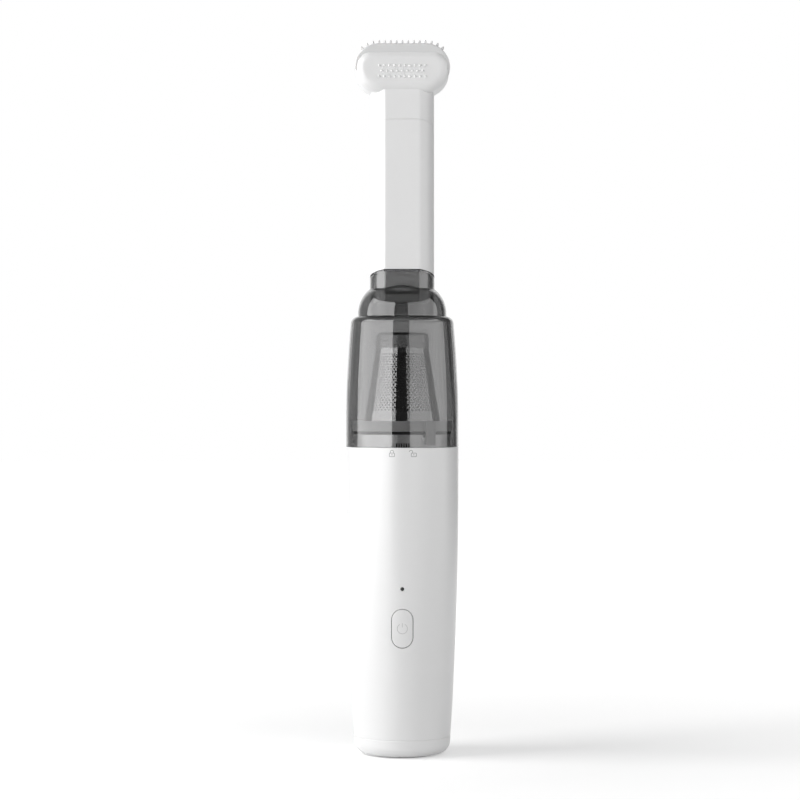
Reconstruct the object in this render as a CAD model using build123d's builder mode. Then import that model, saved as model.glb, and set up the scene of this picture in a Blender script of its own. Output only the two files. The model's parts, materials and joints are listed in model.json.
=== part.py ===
from build123d import *
import math
import os

os.makedirs("parts", exist_ok=True)

# A slim upright hand vacuum. It stands on its base with the nozzle up, +Z is up,
# and the front, with the power button, faces -Y. All sizes are in millimetres.

# Handle casing
body_radius = 29.9
base_taper = 4.2
base_cap_height = 9.9
base_corner = 6.3
base_draft = 0.5
shell_wall = 2.2
upright_height = 18.0
side_runs = 6
seam_bevel = 0.25
bulkhead_gap = 2.0
cut_over = 2.0

# Base cap, foot and screws
foot_stand_off = 0.5
foot_thickness = 1.7
foot_setback = 7.2
foot_width = 6.0
foot_edge = 0.3
cap_floor = 2.4
cap_spigot_wall = 1.6
cap_spigot_rise = 4.1
boss_rise = 2.1
boss_radius = 3.0
screw_count = 3
screw_radius = 1.3
screw_head_radius = 2.3
screw_head_height = 1.6
screw_bite = 2.2
screw_set_down = 0.2
screw_cross_width = 0.7
screw_cross_length = 2.4

# Battery cells
cell_radius = 9.2
cell_length = 65.0
cell_gap = 0.4
cell_set_back = 5.0
cell_button_radius = 3.0
cell_button_height = 0.9
cell_edge = 0.8
tab_thickness = 0.5
tab_width = 7.0

# Inner frame
frame_plate = 2.5
frame_web = 3.0
web_front_reach = 6.0
web_rear_reach = 8.0
web_rear_setback = 10.9
cell_plate = 2.0
lead_hole_radius = 1.6

# Circuit board and power switch
board_width = 24.0
board_thickness = 1.6
board_setback = 17.9
board_bottom_height = 30.0
board_margin = 5.5
board_corner = 1.5
chip_rise = 8.4
chip_size = 7.0
chip_height = 1.2
small_chip_size = 4.2
capacitor_radius = 2.5
capacitor_height = 7.0
switch_width = 6.0
switch_depth = 3.5
switch_hole_depth = 2.5
switch_corner = 0.5
plunger_radius = 1.5
plunger_length = 2.6
plunger_reach = 1.5

# Power button and status light
button_height_above_floor = 68.8
button_width = 11.0
button_length = 20.2
button_travel = 0.8
button_flange = 1.5
button_flange_thickness = 1.4
button_stem_radius = 2.5
button_edge = 0.5
guide_wall = 2.0
light_above_button = 20.7
light_radius = 0.8
light_body_height = 1.2
light_body_size = 2.4
light_set_back = 0.05

# Charging socket
socket_height_above_floor = 23.8
socket_width = 8.9
socket_thickness = 3.2
socket_depth = 8.0
socket_wall = 0.3
socket_tongue_width = 6.6
socket_tongue_thickness = 0.7
socket_tongue_setback = 0.8
socket_setback = 1.1
charge_board_width = 14.0
charge_board_thickness = 1.2
charge_board_lap = 1.0

# Motor and fan
motor_radius = 14.5
motor_length = 32.0
motor_edge = 1.5
motor_boss_radius = 5.0
motor_boss_height = 1.6
mount_pad = 2.0
mount_wall = 2.4
mount_height = 8.0
mount_lip = 1.0
shaft_radius = 1.5
shaft_seat_depth = 8.0
fan_height = 18.0
fan_setback = 3.4
fan_wall = 2.0
fan_outlet_count = 12
fan_outlet_length = 7.0
fan_outlet_width = 2.4
fan_eye_radius = 10.0
eye_rim_width = 1.2
eye_rim_height = 1.5
impeller_setback = 5.5
impeller_gap = 2.0
impeller_disc = 1.4
impeller_blade_height = 8.0
impeller_blade_count = 9
impeller_blade_thickness = 1.0
blade_root_radius = 8.4
blade_tip_inset = 0.5
blade_sweep_deg = 44.0
impeller_hub_radius = 4.0
lead_radius = 0.8
lead_spacing = 9.0
lead_run = 5.0
lead_bend = 2.2
lead_below_board_top = 3.0
vent_count = 9
vent_pitch_deg = 11.0
vent_width = 2.0
vent_length = 13.0
vent_below_fan = 2.0
foam_thickness = 2.0
foam_margin_deg = 6.0
foam_overlap = 2.0
foam_top_gap = 0.5

# Neck that carries the filter and locks it
neck_depth = 11.5
neck_rise = 6.8
neck_setback = 4.3
neck_wall = 2.0
grille_thickness = 2.0
grille_slot_count = 10
grille_slot_width = 4.4
grille_hub_radius = 6.5
grille_margin = 1.5
grille_set_down = 1.0
lug_count = 3
lug_reach = 1.0
lug_height = 2.0
lug_arc_deg = 18.0
lug_below_top = 1.5
hook_arc_deg = 12.0
hook_wall = 0.7
hook_toe = 1.6
hook_root = 1.0
first_lug_deg = 62.0

# Dust cup
cup_wall = 2.0
cup_straight = 9.0
cup_height = 69.3
cup_taper = 2.9
cup_shoulder = 4.0
dome_foot_setback = 3.5
dome_lip = 1.7
dome_arc_radius = 16.4
duct_radius = 17.15
duct_flat = 14.3
duct_wall = 1.8
duct_drop = 1.4
rim_front_height = 93.9
rim_slope = 0.25
key_width = 2.4
key_height = 8.0

# Filter
seal_thickness = 1.6
seal_width = 3.6
seal_overhang = 0.5
flange_thickness = 5.4
flange_overhang = 0.8
mesh_height = 38.7
mesh_setback = 5.2
mesh_taper = 6.4
mesh_thickness = 0.4
cage_wall = 1.4
cage_window_count = 6
cage_bar_width = 3.0
cage_band = 3.0
core_pleat_count = 24
core_pleat_depth = 3.0
core_margin = 1.0
core_thickness = 5.75
filter_cap_height = 8.0
filter_cap_overhang = 0.4
filter_cap_wall = 1.2
filter_cap_edge = 2.0

# Extension tube
tube_length = 79.1
tube_step = 0.2
tube_wall = 1.8
spigot_wall = 1.6
spigot_below_rim = 9.75
seal_ring_width = 2.4
seal_ring_depth = 0.8
seal_ring_rise = 3.0

# Brush head
head_rise = 27.1
head_half_width = 25.2
head_end_radius = 12.85
head_depth = 31.0
head_edge = 5.0
housing_half_width = 24.9
housing_above_centre = 8.4
housing_corner = 8.6
housing_wall = 2.2
housing_side_least = 0.2
chamber_floor = 3.0
chamber_end = 4.0
chamber_side_gap = 0.6
chamber_corner = 4.0
head_spigot_length = 12.0
pad_depth = 27.4
pad_skirt = 2.4
mouth_length = 28.0
mouth_width = 6.4
mouth_corner = 3.1
strip_thickness = 0.9
strip_inner = 5.0
nub_height = 1.9
nub_side = 0.95
nub_pitch = 3.05
nub_row_pitch = 2.0
nub_row_count = 4
nub_row_margin = 0.67
nub_wrap_deg = 50.0
front_nub_radius = 0.65
front_nub_height = 0.6
front_nub_pitch = 2.7
front_nub_row_pitch = 2.9
front_nub_columns = 10
front_nub_rows = 3
front_nub_sides = 6
front_nub_taper_deg = 15.0
front_nub_above_centre = 0.9

# Clearances between pieces
fit = 0.15
running = 0.3
shaft_running = 0.05
shaft_bond = 0.02
part_gap = 0.3

# Radii that follow the body's
base_radius = body_radius - base_taper
board_set_forward = body_radius - board_setback
foot_outer_radius = base_radius - foot_setback
foot_inner_radius = foot_outer_radius - foot_width
screw_circle_radius = (foot_inner_radius + foot_outer_radius) / 2
fan_housing_radius = body_radius - fan_setback
impeller_radius = fan_housing_radius - impeller_setback
neck_radius = body_radius - neck_setback
flange_radius = neck_radius + flange_overhang
mesh_base_radius = neck_radius - mesh_setback
mesh_top_radius = mesh_base_radius - mesh_taper
filter_cap_radius = mesh_top_radius + filter_cap_overhang
cup_top_radius = body_radius - cup_taper
dome_foot_radius = cup_top_radius - dome_foot_setback

# Heights worked out from the floor up
seam_z = base_cap_height
frame_z = seam_z + boss_rise
frame_top_z = frame_z + frame_plate
cell_z = frame_top_z + tab_thickness
cell_top_z = cell_z + cell_length + cell_button_height
cell_plate_z = cell_top_z + tab_thickness
light_z = button_height_above_floor + light_above_button
board_top_z = light_z + board_margin
bulkhead_z = max(board_top_z, cell_plate_z + cell_plate) + bulkhead_gap
mount_z = bulkhead_z + frame_plate
motor_z = mount_z + mount_pad
fan_z = motor_z + motor_length
neck_z = fan_z + fan_height
handle_height = neck_z + neck_depth
neck_top_z = handle_height + neck_rise
flange_z = neck_top_z + seal_thickness
mesh_z = flange_z + flange_thickness
mesh_top_z = mesh_z + mesh_height
cup_shoulder_z = handle_height + cup_height
dome_z = cup_shoulder_z + dome_lip
duct_bottom_z = cup_shoulder_z + duct_drop
rim_z = handle_height + rim_front_height
tube_top_z = rim_z + tube_length
head_z = tube_top_z + head_rise

# Long curve of the handle's side, upright from upright_height below the cup joint
widest_z = handle_height - upright_height
side_rise = widest_z - seam_z
side_gain = body_radius - base_radius
side_arc_radius = (side_rise ** 2 + side_gain ** 2) / (2 * side_gain)


def side_radius(z):
    """Outer radius of the handle at a height above the base seam."""
    below = max(widest_z - z, 0.0)
    return body_radius - side_arc_radius + math.sqrt(side_arc_radius ** 2 - below ** 2)


def inner_radius(z):
    """Inner radius of the handle's shell."""
    return side_radius(z) - shell_wall


def side_outline(inset, bottom_z, top_z):
    """Closed half outline of the handle between two heights, drawn in the open sketch."""
    run = (widest_z - bottom_z) / side_runs
    heights = [bottom_z + i * run for i in range(side_runs + 1)]
    with BuildLine() as outline:
        Polyline(
            *[(side_radius(z) - inset, z) for z in heights],
            (body_radius - inset, top_z),
            (0, top_z),
            (0, bottom_z),
            close=True,
        )
    make_face(outline.edges())


def flat_sided(radius, flat):
    """Round section with a flat at the front and one at the back, in the open sketch."""
    Circle(radius)
    Rectangle(2 * radius, 2 * flat, mode=Mode.INTERSECT)


def slant(front_z, flat):
    """Plane that slopes down from the front to the back through a point of the front flat."""
    return Plane(origin=(0, -flat, front_z), x_dir=(1, 0, 0), z_dir=(0, rim_slope, 1))


def polar(radius, angle_deg):
    """Point at a radius and an angle from the +X axis."""
    angle = math.radians(angle_deg)
    return (radius * math.cos(angle), radius * math.sin(angle))


def arc_block(inner, outer, centre_deg, arc_deg):
    """Part of a ring between two radii, about the Z axis, in the open sketch."""
    start = centre_deg - arc_deg / 2
    end = centre_deg + arc_deg / 2
    with BuildLine() as outline:
        outer_arc = ThreePointArc(polar(outer, start), polar(outer, centre_deg), polar(outer, end))
        inner_arc = ThreePointArc(polar(inner, end), polar(inner, centre_deg), polar(inner, start))
        Line(outer_arc @ 1, inner_arc @ 0)
        Line(inner_arc @ 1, outer_arc @ 0)
    make_face(outline.edges())


def write(piece, name):
    """Label a finished piece and write its file."""
    piece.part.label = name
    export_step(piece.part, "parts/" + name + ".step")


# Base cap: a shallow moulded cup with a spigot inside the shell and three screw bosses
spigot_radius = inner_radius(seam_z) - fit
spigot_bore = spigot_radius - cap_spigot_wall
recess_top_z = foot_thickness
screw_seat_z = recess_top_z + screw_head_height + screw_set_down
boss_base_z = foot_stand_off + cap_floor
with BuildPart() as base_cap:
    with BuildSketch(Plane.XZ):
        with BuildLine():
            Polyline(
                (0, foot_stand_off),
                (base_radius - base_draft, foot_stand_off),
                (base_radius, seam_z),
                (spigot_radius, seam_z),
                (spigot_radius, seam_z + cap_spigot_rise),
                (spigot_bore, seam_z + cap_spigot_rise),
                (spigot_bore, boss_base_z),
                (0, boss_base_z),
                close=True,
            )
        make_face()
    revolve(axis=Axis.Z)
    bottom_edges = base_cap.edges().filter_by(GeomType.CIRCLE).group_by(Axis.Z)[0]
    fillet(bottom_edges, base_corner)
    with BuildSketch(Plane.XY.offset(boss_base_z)):
        with PolarLocations(screw_circle_radius, screw_count, start_angle=90):
            Circle(boss_radius)
    extrude(amount=frame_z - boss_base_z)
    with BuildSketch(Plane.XY.offset(foot_stand_off)):
        Circle(foot_outer_radius + fit)
        Circle(foot_inner_radius - fit, mode=Mode.SUBTRACT)
    extrude(amount=recess_top_z - foot_stand_off, mode=Mode.SUBTRACT)
    with BuildSketch(Plane.XY):
        with PolarLocations(screw_circle_radius, screw_count, start_angle=90):
            Circle(screw_head_radius + fit)
    extrude(amount=screw_seat_z, mode=Mode.SUBTRACT)
    with BuildSketch(Plane.XY):
        with PolarLocations(screw_circle_radius, screw_count, start_angle=90):
            Circle(screw_radius + fit)
    extrude(amount=frame_top_z, mode=Mode.SUBTRACT)
write(base_cap, "base_cap")

# Foot ring: a soft ring in the cap's recess that the vacuum stands on
with BuildPart() as foot_ring:
    with BuildSketch(Plane.XY):
        Circle(foot_outer_radius)
        Circle(foot_inner_radius, mode=Mode.SUBTRACT)
    extrude(amount=foot_thickness)
    chamfer(foot_ring.edges().group_by(Axis.Z)[0], foot_edge)
write(foot_ring, "foot_ring")

# Base screws: three self-tapping screws hidden by the foot ring
screw_top_z = frame_z + screw_bite
with BuildPart() as base_screws:
    with BuildSketch(Plane.XY.offset(screw_seat_z - screw_head_height)):
        with PolarLocations(screw_circle_radius, screw_count, start_angle=90):
            Circle(screw_head_radius)
    extrude(amount=screw_head_height)
    with BuildSketch(Plane.XY.offset(screw_seat_z)):
        with PolarLocations(screw_circle_radius, screw_count, start_angle=90):
            Circle(screw_radius)
    extrude(amount=screw_top_z - screw_seat_z)
    with BuildSketch(Plane.XY.offset(screw_seat_z - screw_head_height)):
        with PolarLocations(screw_circle_radius, screw_count, start_angle=90):
            Rectangle(screw_cross_width, screw_cross_length)
            Rectangle(screw_cross_length, screw_cross_width)
    extrude(amount=screw_head_height / 2, mode=Mode.SUBTRACT)
write(base_screws, "base_screws")

# Body shell: one tapered tube with openings for the button, light, socket and exhaust
button_z = button_height_above_floor
socket_z = socket_height_above_floor
vent_z = fan_z - vent_below_fan - vent_length / 2
with BuildPart() as body_shell:
    with BuildSketch(Plane.XZ):
        side_outline(0, seam_z, handle_height)
    revolve(axis=Axis.Z)
    with BuildSketch(Plane.XZ):
        side_outline(shell_wall, seam_z, handle_height)
    revolve(axis=Axis.Z, mode=Mode.SUBTRACT)
    rims = body_shell.edges().filter_by(GeomType.CIRCLE)
    outer_rims = rims.group_by(Axis.Z)[0].sort_by(SortBy.RADIUS)[-1:]
    outer_rims += rims.group_by(Axis.Z)[-1].sort_by(SortBy.RADIUS)[-1:]
    chamfer(outer_rims, seam_bevel)
    with BuildSketch(Plane.XZ):
        with Locations((0, button_z)):
            SlotOverall(button_length + 2 * running, button_width + 2 * running, rotation=90)
    extrude(amount=body_radius, mode=Mode.SUBTRACT)
    with BuildSketch(Plane.XZ):
        with Locations((0, light_z)):
            Circle(light_radius + fit)
    extrude(amount=body_radius, mode=Mode.SUBTRACT)
    with BuildSketch(Plane.XZ):
        with Locations((0, socket_z)):
            SlotOverall(socket_width + 2 * part_gap, socket_thickness + 2 * part_gap)
    extrude(amount=-body_radius, mode=Mode.SUBTRACT)
    vent_angles = [(i - (vent_count - 1) / 2) * vent_pitch_deg for i in range(vent_count)]
    for angle in vent_angles:
        with BuildSketch(Plane.XZ.rotated((0, 0, angle))):
            with Locations((0, vent_z)):
                SlotOverall(vent_length, vent_width, rotation=90)
        extrude(amount=-body_radius, mode=Mode.SUBTRACT)
write(body_shell, "body_shell")

# Inner frame: floor, webs between the cells, cell plate and motor bulkhead in one moulding
cell_x = cell_radius + cell_gap / 2
board_back_y = -board_set_forward
web_front_end = cell_set_back - web_front_reach
web_rear_start = cell_set_back + web_rear_reach
web_rear_end = body_radius - web_rear_setback
charge_board_start = web_rear_start + charge_board_lap
socket_floor_z = socket_z - socket_thickness / 2
charge_board_z = socket_floor_z - charge_board_thickness
bulkhead_radius = inner_radius(bulkhead_z) - part_gap
with BuildPart() as inner_frame:
    with BuildSketch(Plane.XY.offset(frame_z)):
        Circle(spigot_bore - part_gap)
    extrude(amount=frame_plate)
    with BuildSketch(Plane.XY.offset(frame_top_z)):
        with Locations((0, (board_back_y + web_front_end) / 2)):
            Rectangle(frame_web, web_front_end - board_back_y)
        with Locations((0, (web_rear_start + web_rear_end) / 2)):
            Rectangle(frame_web, web_rear_end - web_rear_start)
    extrude(amount=bulkhead_z - frame_top_z)
    with BuildSketch(Plane.XY.offset(cell_plate_z)):
        Circle(web_rear_end)
        with Locations((0, board_back_y - web_rear_end)):
            Rectangle(4 * web_rear_end, 2 * web_rear_end, mode=Mode.SUBTRACT)
    extrude(amount=cell_plate)
    with BuildSketch(Plane.XY.offset(bulkhead_z)):
        Circle(bulkhead_radius)
    extrude(amount=frame_plate)
    with BuildSketch(Plane.XY.offset(bulkhead_z)):
        with Locations(
            (-lead_spacing / 2, board_back_y + lead_run),
            (lead_spacing / 2, board_back_y + lead_run),
        ):
            Circle(lead_hole_radius)
    extrude(amount=frame_plate, mode=Mode.SUBTRACT)
    with BuildSketch(Plane.XY.offset(frame_z)):
        with PolarLocations(screw_circle_radius, screw_count, start_angle=90):
            Circle(screw_radius + fit)
    extrude(amount=frame_plate, mode=Mode.SUBTRACT)
    with BuildSketch(Plane.XY.offset(charge_board_z)):
        with Locations((0, web_rear_end)):
            Rectangle(2 * frame_web, 2 * (web_rear_end - charge_board_start))
    extrude(
        amount=charge_board_thickness + socket_thickness + part_gap,
        mode=Mode.SUBTRACT,
    )
write(inner_frame, "inner_frame")

# Battery cells: two round cells side by side, each with a raised contact
for side, name in ((-1, "battery_cell_left"), (1, "battery_cell_right")):
    with BuildPart() as cell:
        with BuildSketch(Plane.XY.offset(cell_z)):
            with Locations((side * cell_x, cell_set_back)):
                Circle(cell_radius)
        extrude(amount=cell_length)
        chamfer(cell.edges().filter_by(GeomType.CIRCLE), cell_edge)
        with BuildSketch(Plane.XY.offset(cell_z + cell_length)):
            with Locations((side * cell_x, cell_set_back)):
                Circle(cell_button_radius)
        extrude(amount=cell_button_height)
    write(cell, name)

# Cell tabs: one strip joins the cells below, and one strip caps each cell above
with BuildPart() as cell_tabs:
    with BuildSketch(Plane.XY.offset(frame_top_z)):
        with Locations((0, cell_set_back)):
            Rectangle(2 * cell_x + tab_width, tab_width)
    extrude(amount=tab_thickness)
    with BuildSketch(Plane.XY.offset(cell_top_z)):
        with Locations((-cell_x, cell_set_back), (cell_x, cell_set_back)):
            Rectangle(tab_width, tab_width)
    extrude(amount=tab_thickness)
write(cell_tabs, "cell_tabs")

# Circuit board: stands in front of the cells and reaches from below the button to the light
with BuildPart() as circuit_board:
    with BuildSketch(Plane.XZ.offset(board_set_forward)):
        with Locations((0, (board_bottom_height + board_top_z) / 2)):
            RectangleRounded(board_width, board_top_z - board_bottom_height, board_corner)
    extrude(amount=board_thickness)
write(circuit_board, "circuit_board")

# Board components: controller, inductor, capacitor and the status light's body
board_face = Plane.XZ.offset(board_set_forward + board_thickness)
chip_z = board_bottom_height + chip_rise
with BuildPart() as board_components:
    with BuildSketch(board_face):
        with Locations((0, chip_z)):
            Rectangle(chip_size, chip_size)
    extrude(amount=chip_height)
    with BuildSketch(board_face):
        with Locations((-board_width / 3, chip_z), (-board_width / 3, chip_z + chip_size)):
            Rectangle(small_chip_size, small_chip_size)
    extrude(amount=2 * chip_height)
    with BuildSketch(board_face):
        with Locations((board_width / 3, chip_z)):
            Circle(capacitor_radius)
    extrude(amount=capacitor_height)
    with BuildSketch(board_face):
        with Locations((0, light_z)):
            Rectangle(light_body_size, light_body_size)
    extrude(amount=light_body_height)
write(board_components, "board_components")

# Light pipe: carries the status light through the shell
light_back = board_set_forward + board_thickness + light_body_height
with BuildPart() as light_pipe:
    with BuildSketch(Plane.XZ.offset(light_back)):
        with Locations((0, light_z)):
            Circle(light_radius)
    extrude(amount=side_radius(light_z) - light_back - light_set_back)
    with BuildSketch(Plane.XZ.offset(light_back)):
        with Locations((0, light_z)):
            Circle(2 * light_radius)
    extrude(amount=inner_radius(light_z) - light_back - 2 * part_gap)
write(light_pipe, "light_pipe")

# Power switch: a small push switch on the board with a hole for its plunger
switch_face_y = board_set_forward + board_thickness + switch_depth
with BuildPart() as power_switch:
    with BuildSketch(board_face):
        with Locations((0, button_z)):
            RectangleRounded(switch_width, switch_width, switch_corner)
    extrude(amount=switch_depth)
    with BuildSketch(Plane.XZ.offset(switch_face_y)):
        with Locations((0, button_z)):
            Circle(plunger_radius + running)
    extrude(amount=-switch_hole_depth, mode=Mode.SUBTRACT)
write(power_switch, "power_switch")

# Switch plunger: moves with the button
plunger_tip_y = switch_face_y + plunger_reach
with BuildPart() as switch_plunger:
    with BuildSketch(Plane.XZ.offset(plunger_tip_y)):
        with Locations((0, button_z)):
            Circle(plunger_radius)
    extrude(amount=-plunger_length)
write(switch_plunger, "switch_plunger")

# Power button: a pill that follows the shell, with a hidden flange and a stem
flange_half = button_width / 2 + button_flange
button_inner = inner_radius(button_z - button_length / 2)
flange_front_y = math.sqrt(button_inner ** 2 - flange_half ** 2) - part_gap
flange_back_y = flange_front_y - button_flange_thickness
with BuildPart() as power_button:
    with BuildSketch(Plane.XZ.offset(flange_back_y)):
        with Locations((0, button_z)):
            SlotOverall(button_length, button_width, rotation=90)
    extrude(amount=body_radius - flange_back_y)
    with BuildSketch(Plane.XZ):
        side_outline(0, seam_z, handle_height)
    revolve(axis=Axis.Z, mode=Mode.INTERSECT)
    fillet(power_button.faces().sort_by(Axis.Y)[0].edges(), button_edge)
    with BuildSketch(Plane.XZ.offset(flange_back_y)):
        with Locations((0, button_z)):
            SlotOverall(
                button_length + 2 * button_flange,
                button_width + 2 * button_flange,
                rotation=90,
            )
    extrude(amount=button_flange_thickness)
    with BuildSketch(Plane.XZ.offset(plunger_tip_y)):
        with Locations((0, button_z)):
            Circle(button_stem_radius)
    extrude(amount=flange_back_y - plunger_tip_y)
write(power_button, "power_button")

# Button guide: a frame on the board that keeps the stem straight
guide_front_y = flange_back_y - button_travel - part_gap
guide_depth = guide_front_y - board_set_forward - board_thickness
with BuildPart() as button_guide:
    with BuildSketch(board_face):
        with Locations((0, button_z)):
            SlotOverall(
                button_length + 2 * button_flange,
                button_width + 2 * button_flange,
                rotation=90,
            )
    extrude(amount=guide_depth)
    with BuildSketch(board_face):
        with Locations((0, button_z)):
            SlotOverall(
                button_length + 2 * button_flange - 2 * guide_wall,
                button_width + 2 * button_flange - 2 * guide_wall,
                rotation=90,
            )
    extrude(amount=guide_depth - guide_wall, mode=Mode.SUBTRACT)
    with BuildSketch(Plane.XZ):
        with Locations((0, button_z)):
            Circle(button_stem_radius + running)
    extrude(amount=guide_front_y, mode=Mode.SUBTRACT)
write(button_guide, "button_guide")

# Charging socket on its own small board, at the back near the base
socket_mouth_y = side_radius(socket_z) - socket_setback
charge_board_end = socket_mouth_y - shell_wall
with BuildPart() as charge_board:
    with BuildSketch(Plane.XY.offset(charge_board_z)):
        with Locations((0, (charge_board_start + charge_board_end) / 2)):
            Rectangle(charge_board_width, charge_board_end - charge_board_start)
        Circle(inner_radius(charge_board_z) - part_gap, mode=Mode.INTERSECT)
    extrude(amount=charge_board_thickness)
write(charge_board, "charge_board")

with BuildPart() as charge_socket:
    with BuildSketch(Plane.XZ.offset(-socket_mouth_y)):
        with Locations((0, socket_z)):
            SlotOverall(socket_width, socket_thickness)
    extrude(amount=socket_depth)
    with BuildSketch(Plane.XZ.offset(-socket_mouth_y)):
        with Locations((0, socket_z)):
            SlotOverall(socket_width - 2 * socket_wall, socket_thickness - 2 * socket_wall)
    extrude(amount=socket_depth - socket_wall, mode=Mode.SUBTRACT)
    with BuildSketch(Plane.XZ.offset(socket_depth - socket_mouth_y)):
        with Locations((0, socket_z)):
            Rectangle(socket_tongue_width, socket_tongue_thickness)
    extrude(amount=socket_tongue_setback - socket_depth)
write(charge_socket, "charge_socket")

# Motor leads: two insulated wires from the board up through the bulkhead
lead_z = board_top_z - lead_below_board_top
with BuildPart() as motor_leads:
    for x in (-lead_spacing / 2, lead_spacing / 2):
        with BuildLine() as lead_path:
            FilletPolyline(
                (x, board_back_y, lead_z),
                (x, board_back_y + lead_run, lead_z),
                (x, board_back_y + lead_run, motor_z),
                radius=lead_bend,
            )
        with BuildSketch(Plane(origin=(x, board_back_y, lead_z), z_dir=(0, 1, 0))):
            Circle(lead_radius)
        sweep(path=lead_path.wires()[0])
write(motor_leads, "motor_leads")

# Motor mount: a rubber cup between the bulkhead and the motor
with BuildPart() as motor_mount:
    with BuildSketch(Plane.XY.offset(mount_z)):
        Circle(motor_radius + fit + mount_wall)
    extrude(amount=mount_height)
    with BuildSketch(Plane.XY.offset(motor_z)):
        Circle(motor_radius + fit)
    extrude(amount=mount_height, mode=Mode.SUBTRACT)
    with BuildSketch(Plane.XY.offset(mount_z)):
        Circle(motor_radius - motor_edge - mount_lip)
    extrude(amount=mount_pad, mode=Mode.SUBTRACT)
write(motor_mount, "motor_mount")

# Motor: a drawn steel can with a front boss and a bearing seat for the shaft
shaft_bottom_z = fan_z - shaft_seat_depth
with BuildPart() as motor_can:
    with BuildSketch(Plane.XY.offset(motor_z)):
        Circle(motor_radius)
    extrude(amount=motor_length)
    chamfer(motor_can.edges().filter_by(GeomType.CIRCLE), motor_edge)
    with BuildSketch(Plane.XY.offset(fan_z)):
        Circle(motor_boss_radius)
    extrude(amount=motor_boss_height)
    with BuildSketch(Plane.XY.offset(shaft_bottom_z)):
        Circle(shaft_radius + shaft_running)
    extrude(amount=shaft_seat_depth + motor_boss_height, mode=Mode.SUBTRACT)
write(motor_can, "motor_can")

# Impeller and shaft
impeller_z = fan_z + fan_wall + impeller_gap
impeller_top_z = impeller_z + impeller_disc + impeller_blade_height
with BuildPart() as motor_shaft:
    with BuildSketch(Plane.XY.offset(shaft_bottom_z)):
        Circle(shaft_radius)
    extrude(amount=impeller_top_z - shaft_bottom_z)
write(motor_shaft, "motor_shaft")

blade_tip_radius = impeller_radius - blade_tip_inset
blade_middle_radius = (blade_root_radius + blade_tip_radius) / 2
with BuildSketch() as blade:
    with BuildLine():
        ThreePointArc(
            polar(blade_root_radius, 0),
            polar(blade_middle_radius, -0.4 * blade_sweep_deg),
            polar(blade_tip_radius, -blade_sweep_deg),
        )
    trace(line_width=impeller_blade_thickness)
with BuildPart() as impeller:
    with BuildSketch(Plane.XY.offset(impeller_z)):
        Circle(impeller_radius)
    extrude(amount=impeller_disc)
    with BuildSketch(Plane.XY.offset(impeller_z)):
        Circle(impeller_hub_radius)
    extrude(amount=impeller_disc + impeller_blade_height)
    with BuildSketch(Plane.XY.offset(impeller_z + impeller_disc)):
        with PolarLocations(0, impeller_blade_count):
            add(blade.sketch)
    extrude(amount=impeller_blade_height)
    with BuildSketch(Plane.XY.offset(impeller_z)):
        Circle(shaft_radius + shaft_bond)
    extrude(amount=impeller_disc + impeller_blade_height, mode=Mode.SUBTRACT)
write(impeller, "impeller")

# Fan housing and its cover
fan_cover_z = neck_z - fan_wall
with BuildPart() as fan_housing:
    with BuildSketch(Plane.XY.offset(fan_z)):
        Circle(fan_housing_radius)
    extrude(amount=fan_cover_z - fan_z)
    with BuildSketch(Plane.XY.offset(fan_z + fan_wall)):
        Circle(fan_housing_radius - fan_wall)
    extrude(amount=fan_height, mode=Mode.SUBTRACT)
    with BuildSketch(Plane.XY.offset(fan_z)):
        Circle(motor_boss_radius + fit)
    extrude(amount=fan_wall, mode=Mode.SUBTRACT)
    with BuildSketch(Plane.XY.offset(fan_z)):
        with PolarLocations((motor_radius + fan_housing_radius) / 2, fan_outlet_count):
            SlotOverall(fan_outlet_length, fan_outlet_width)
    extrude(amount=fan_wall, mode=Mode.SUBTRACT)
write(fan_housing, "fan_housing")

with BuildPart() as fan_cover:
    with BuildSketch(Plane.XY.offset(fan_cover_z)):
        Circle(fan_housing_radius)
        Circle(fan_eye_radius, mode=Mode.SUBTRACT)
    extrude(amount=fan_wall)
    with BuildSketch(Plane.XY.offset(fan_cover_z)):
        Circle(fan_eye_radius + eye_rim_width)
        Circle(fan_eye_radius, mode=Mode.SUBTRACT)
    extrude(amount=fan_wall + eye_rim_height)
write(fan_cover, "fan_cover")

# Exhaust foam: a curved strip behind the exhaust slots
foam_arc_deg = (vent_count - 1) * vent_pitch_deg + 2 * foam_margin_deg
foam_z = vent_z - vent_length / 2 - foam_overlap
foam_radius = inner_radius(foam_z) - fit
with BuildPart() as exhaust_foam:
    with BuildSketch(Plane.XY.offset(foam_z)):
        arc_block(foam_radius - foam_thickness, foam_radius, 90, foam_arc_deg)
    extrude(amount=fan_z - foam_top_gap - foam_z)
write(exhaust_foam, "exhaust_foam")

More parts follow.
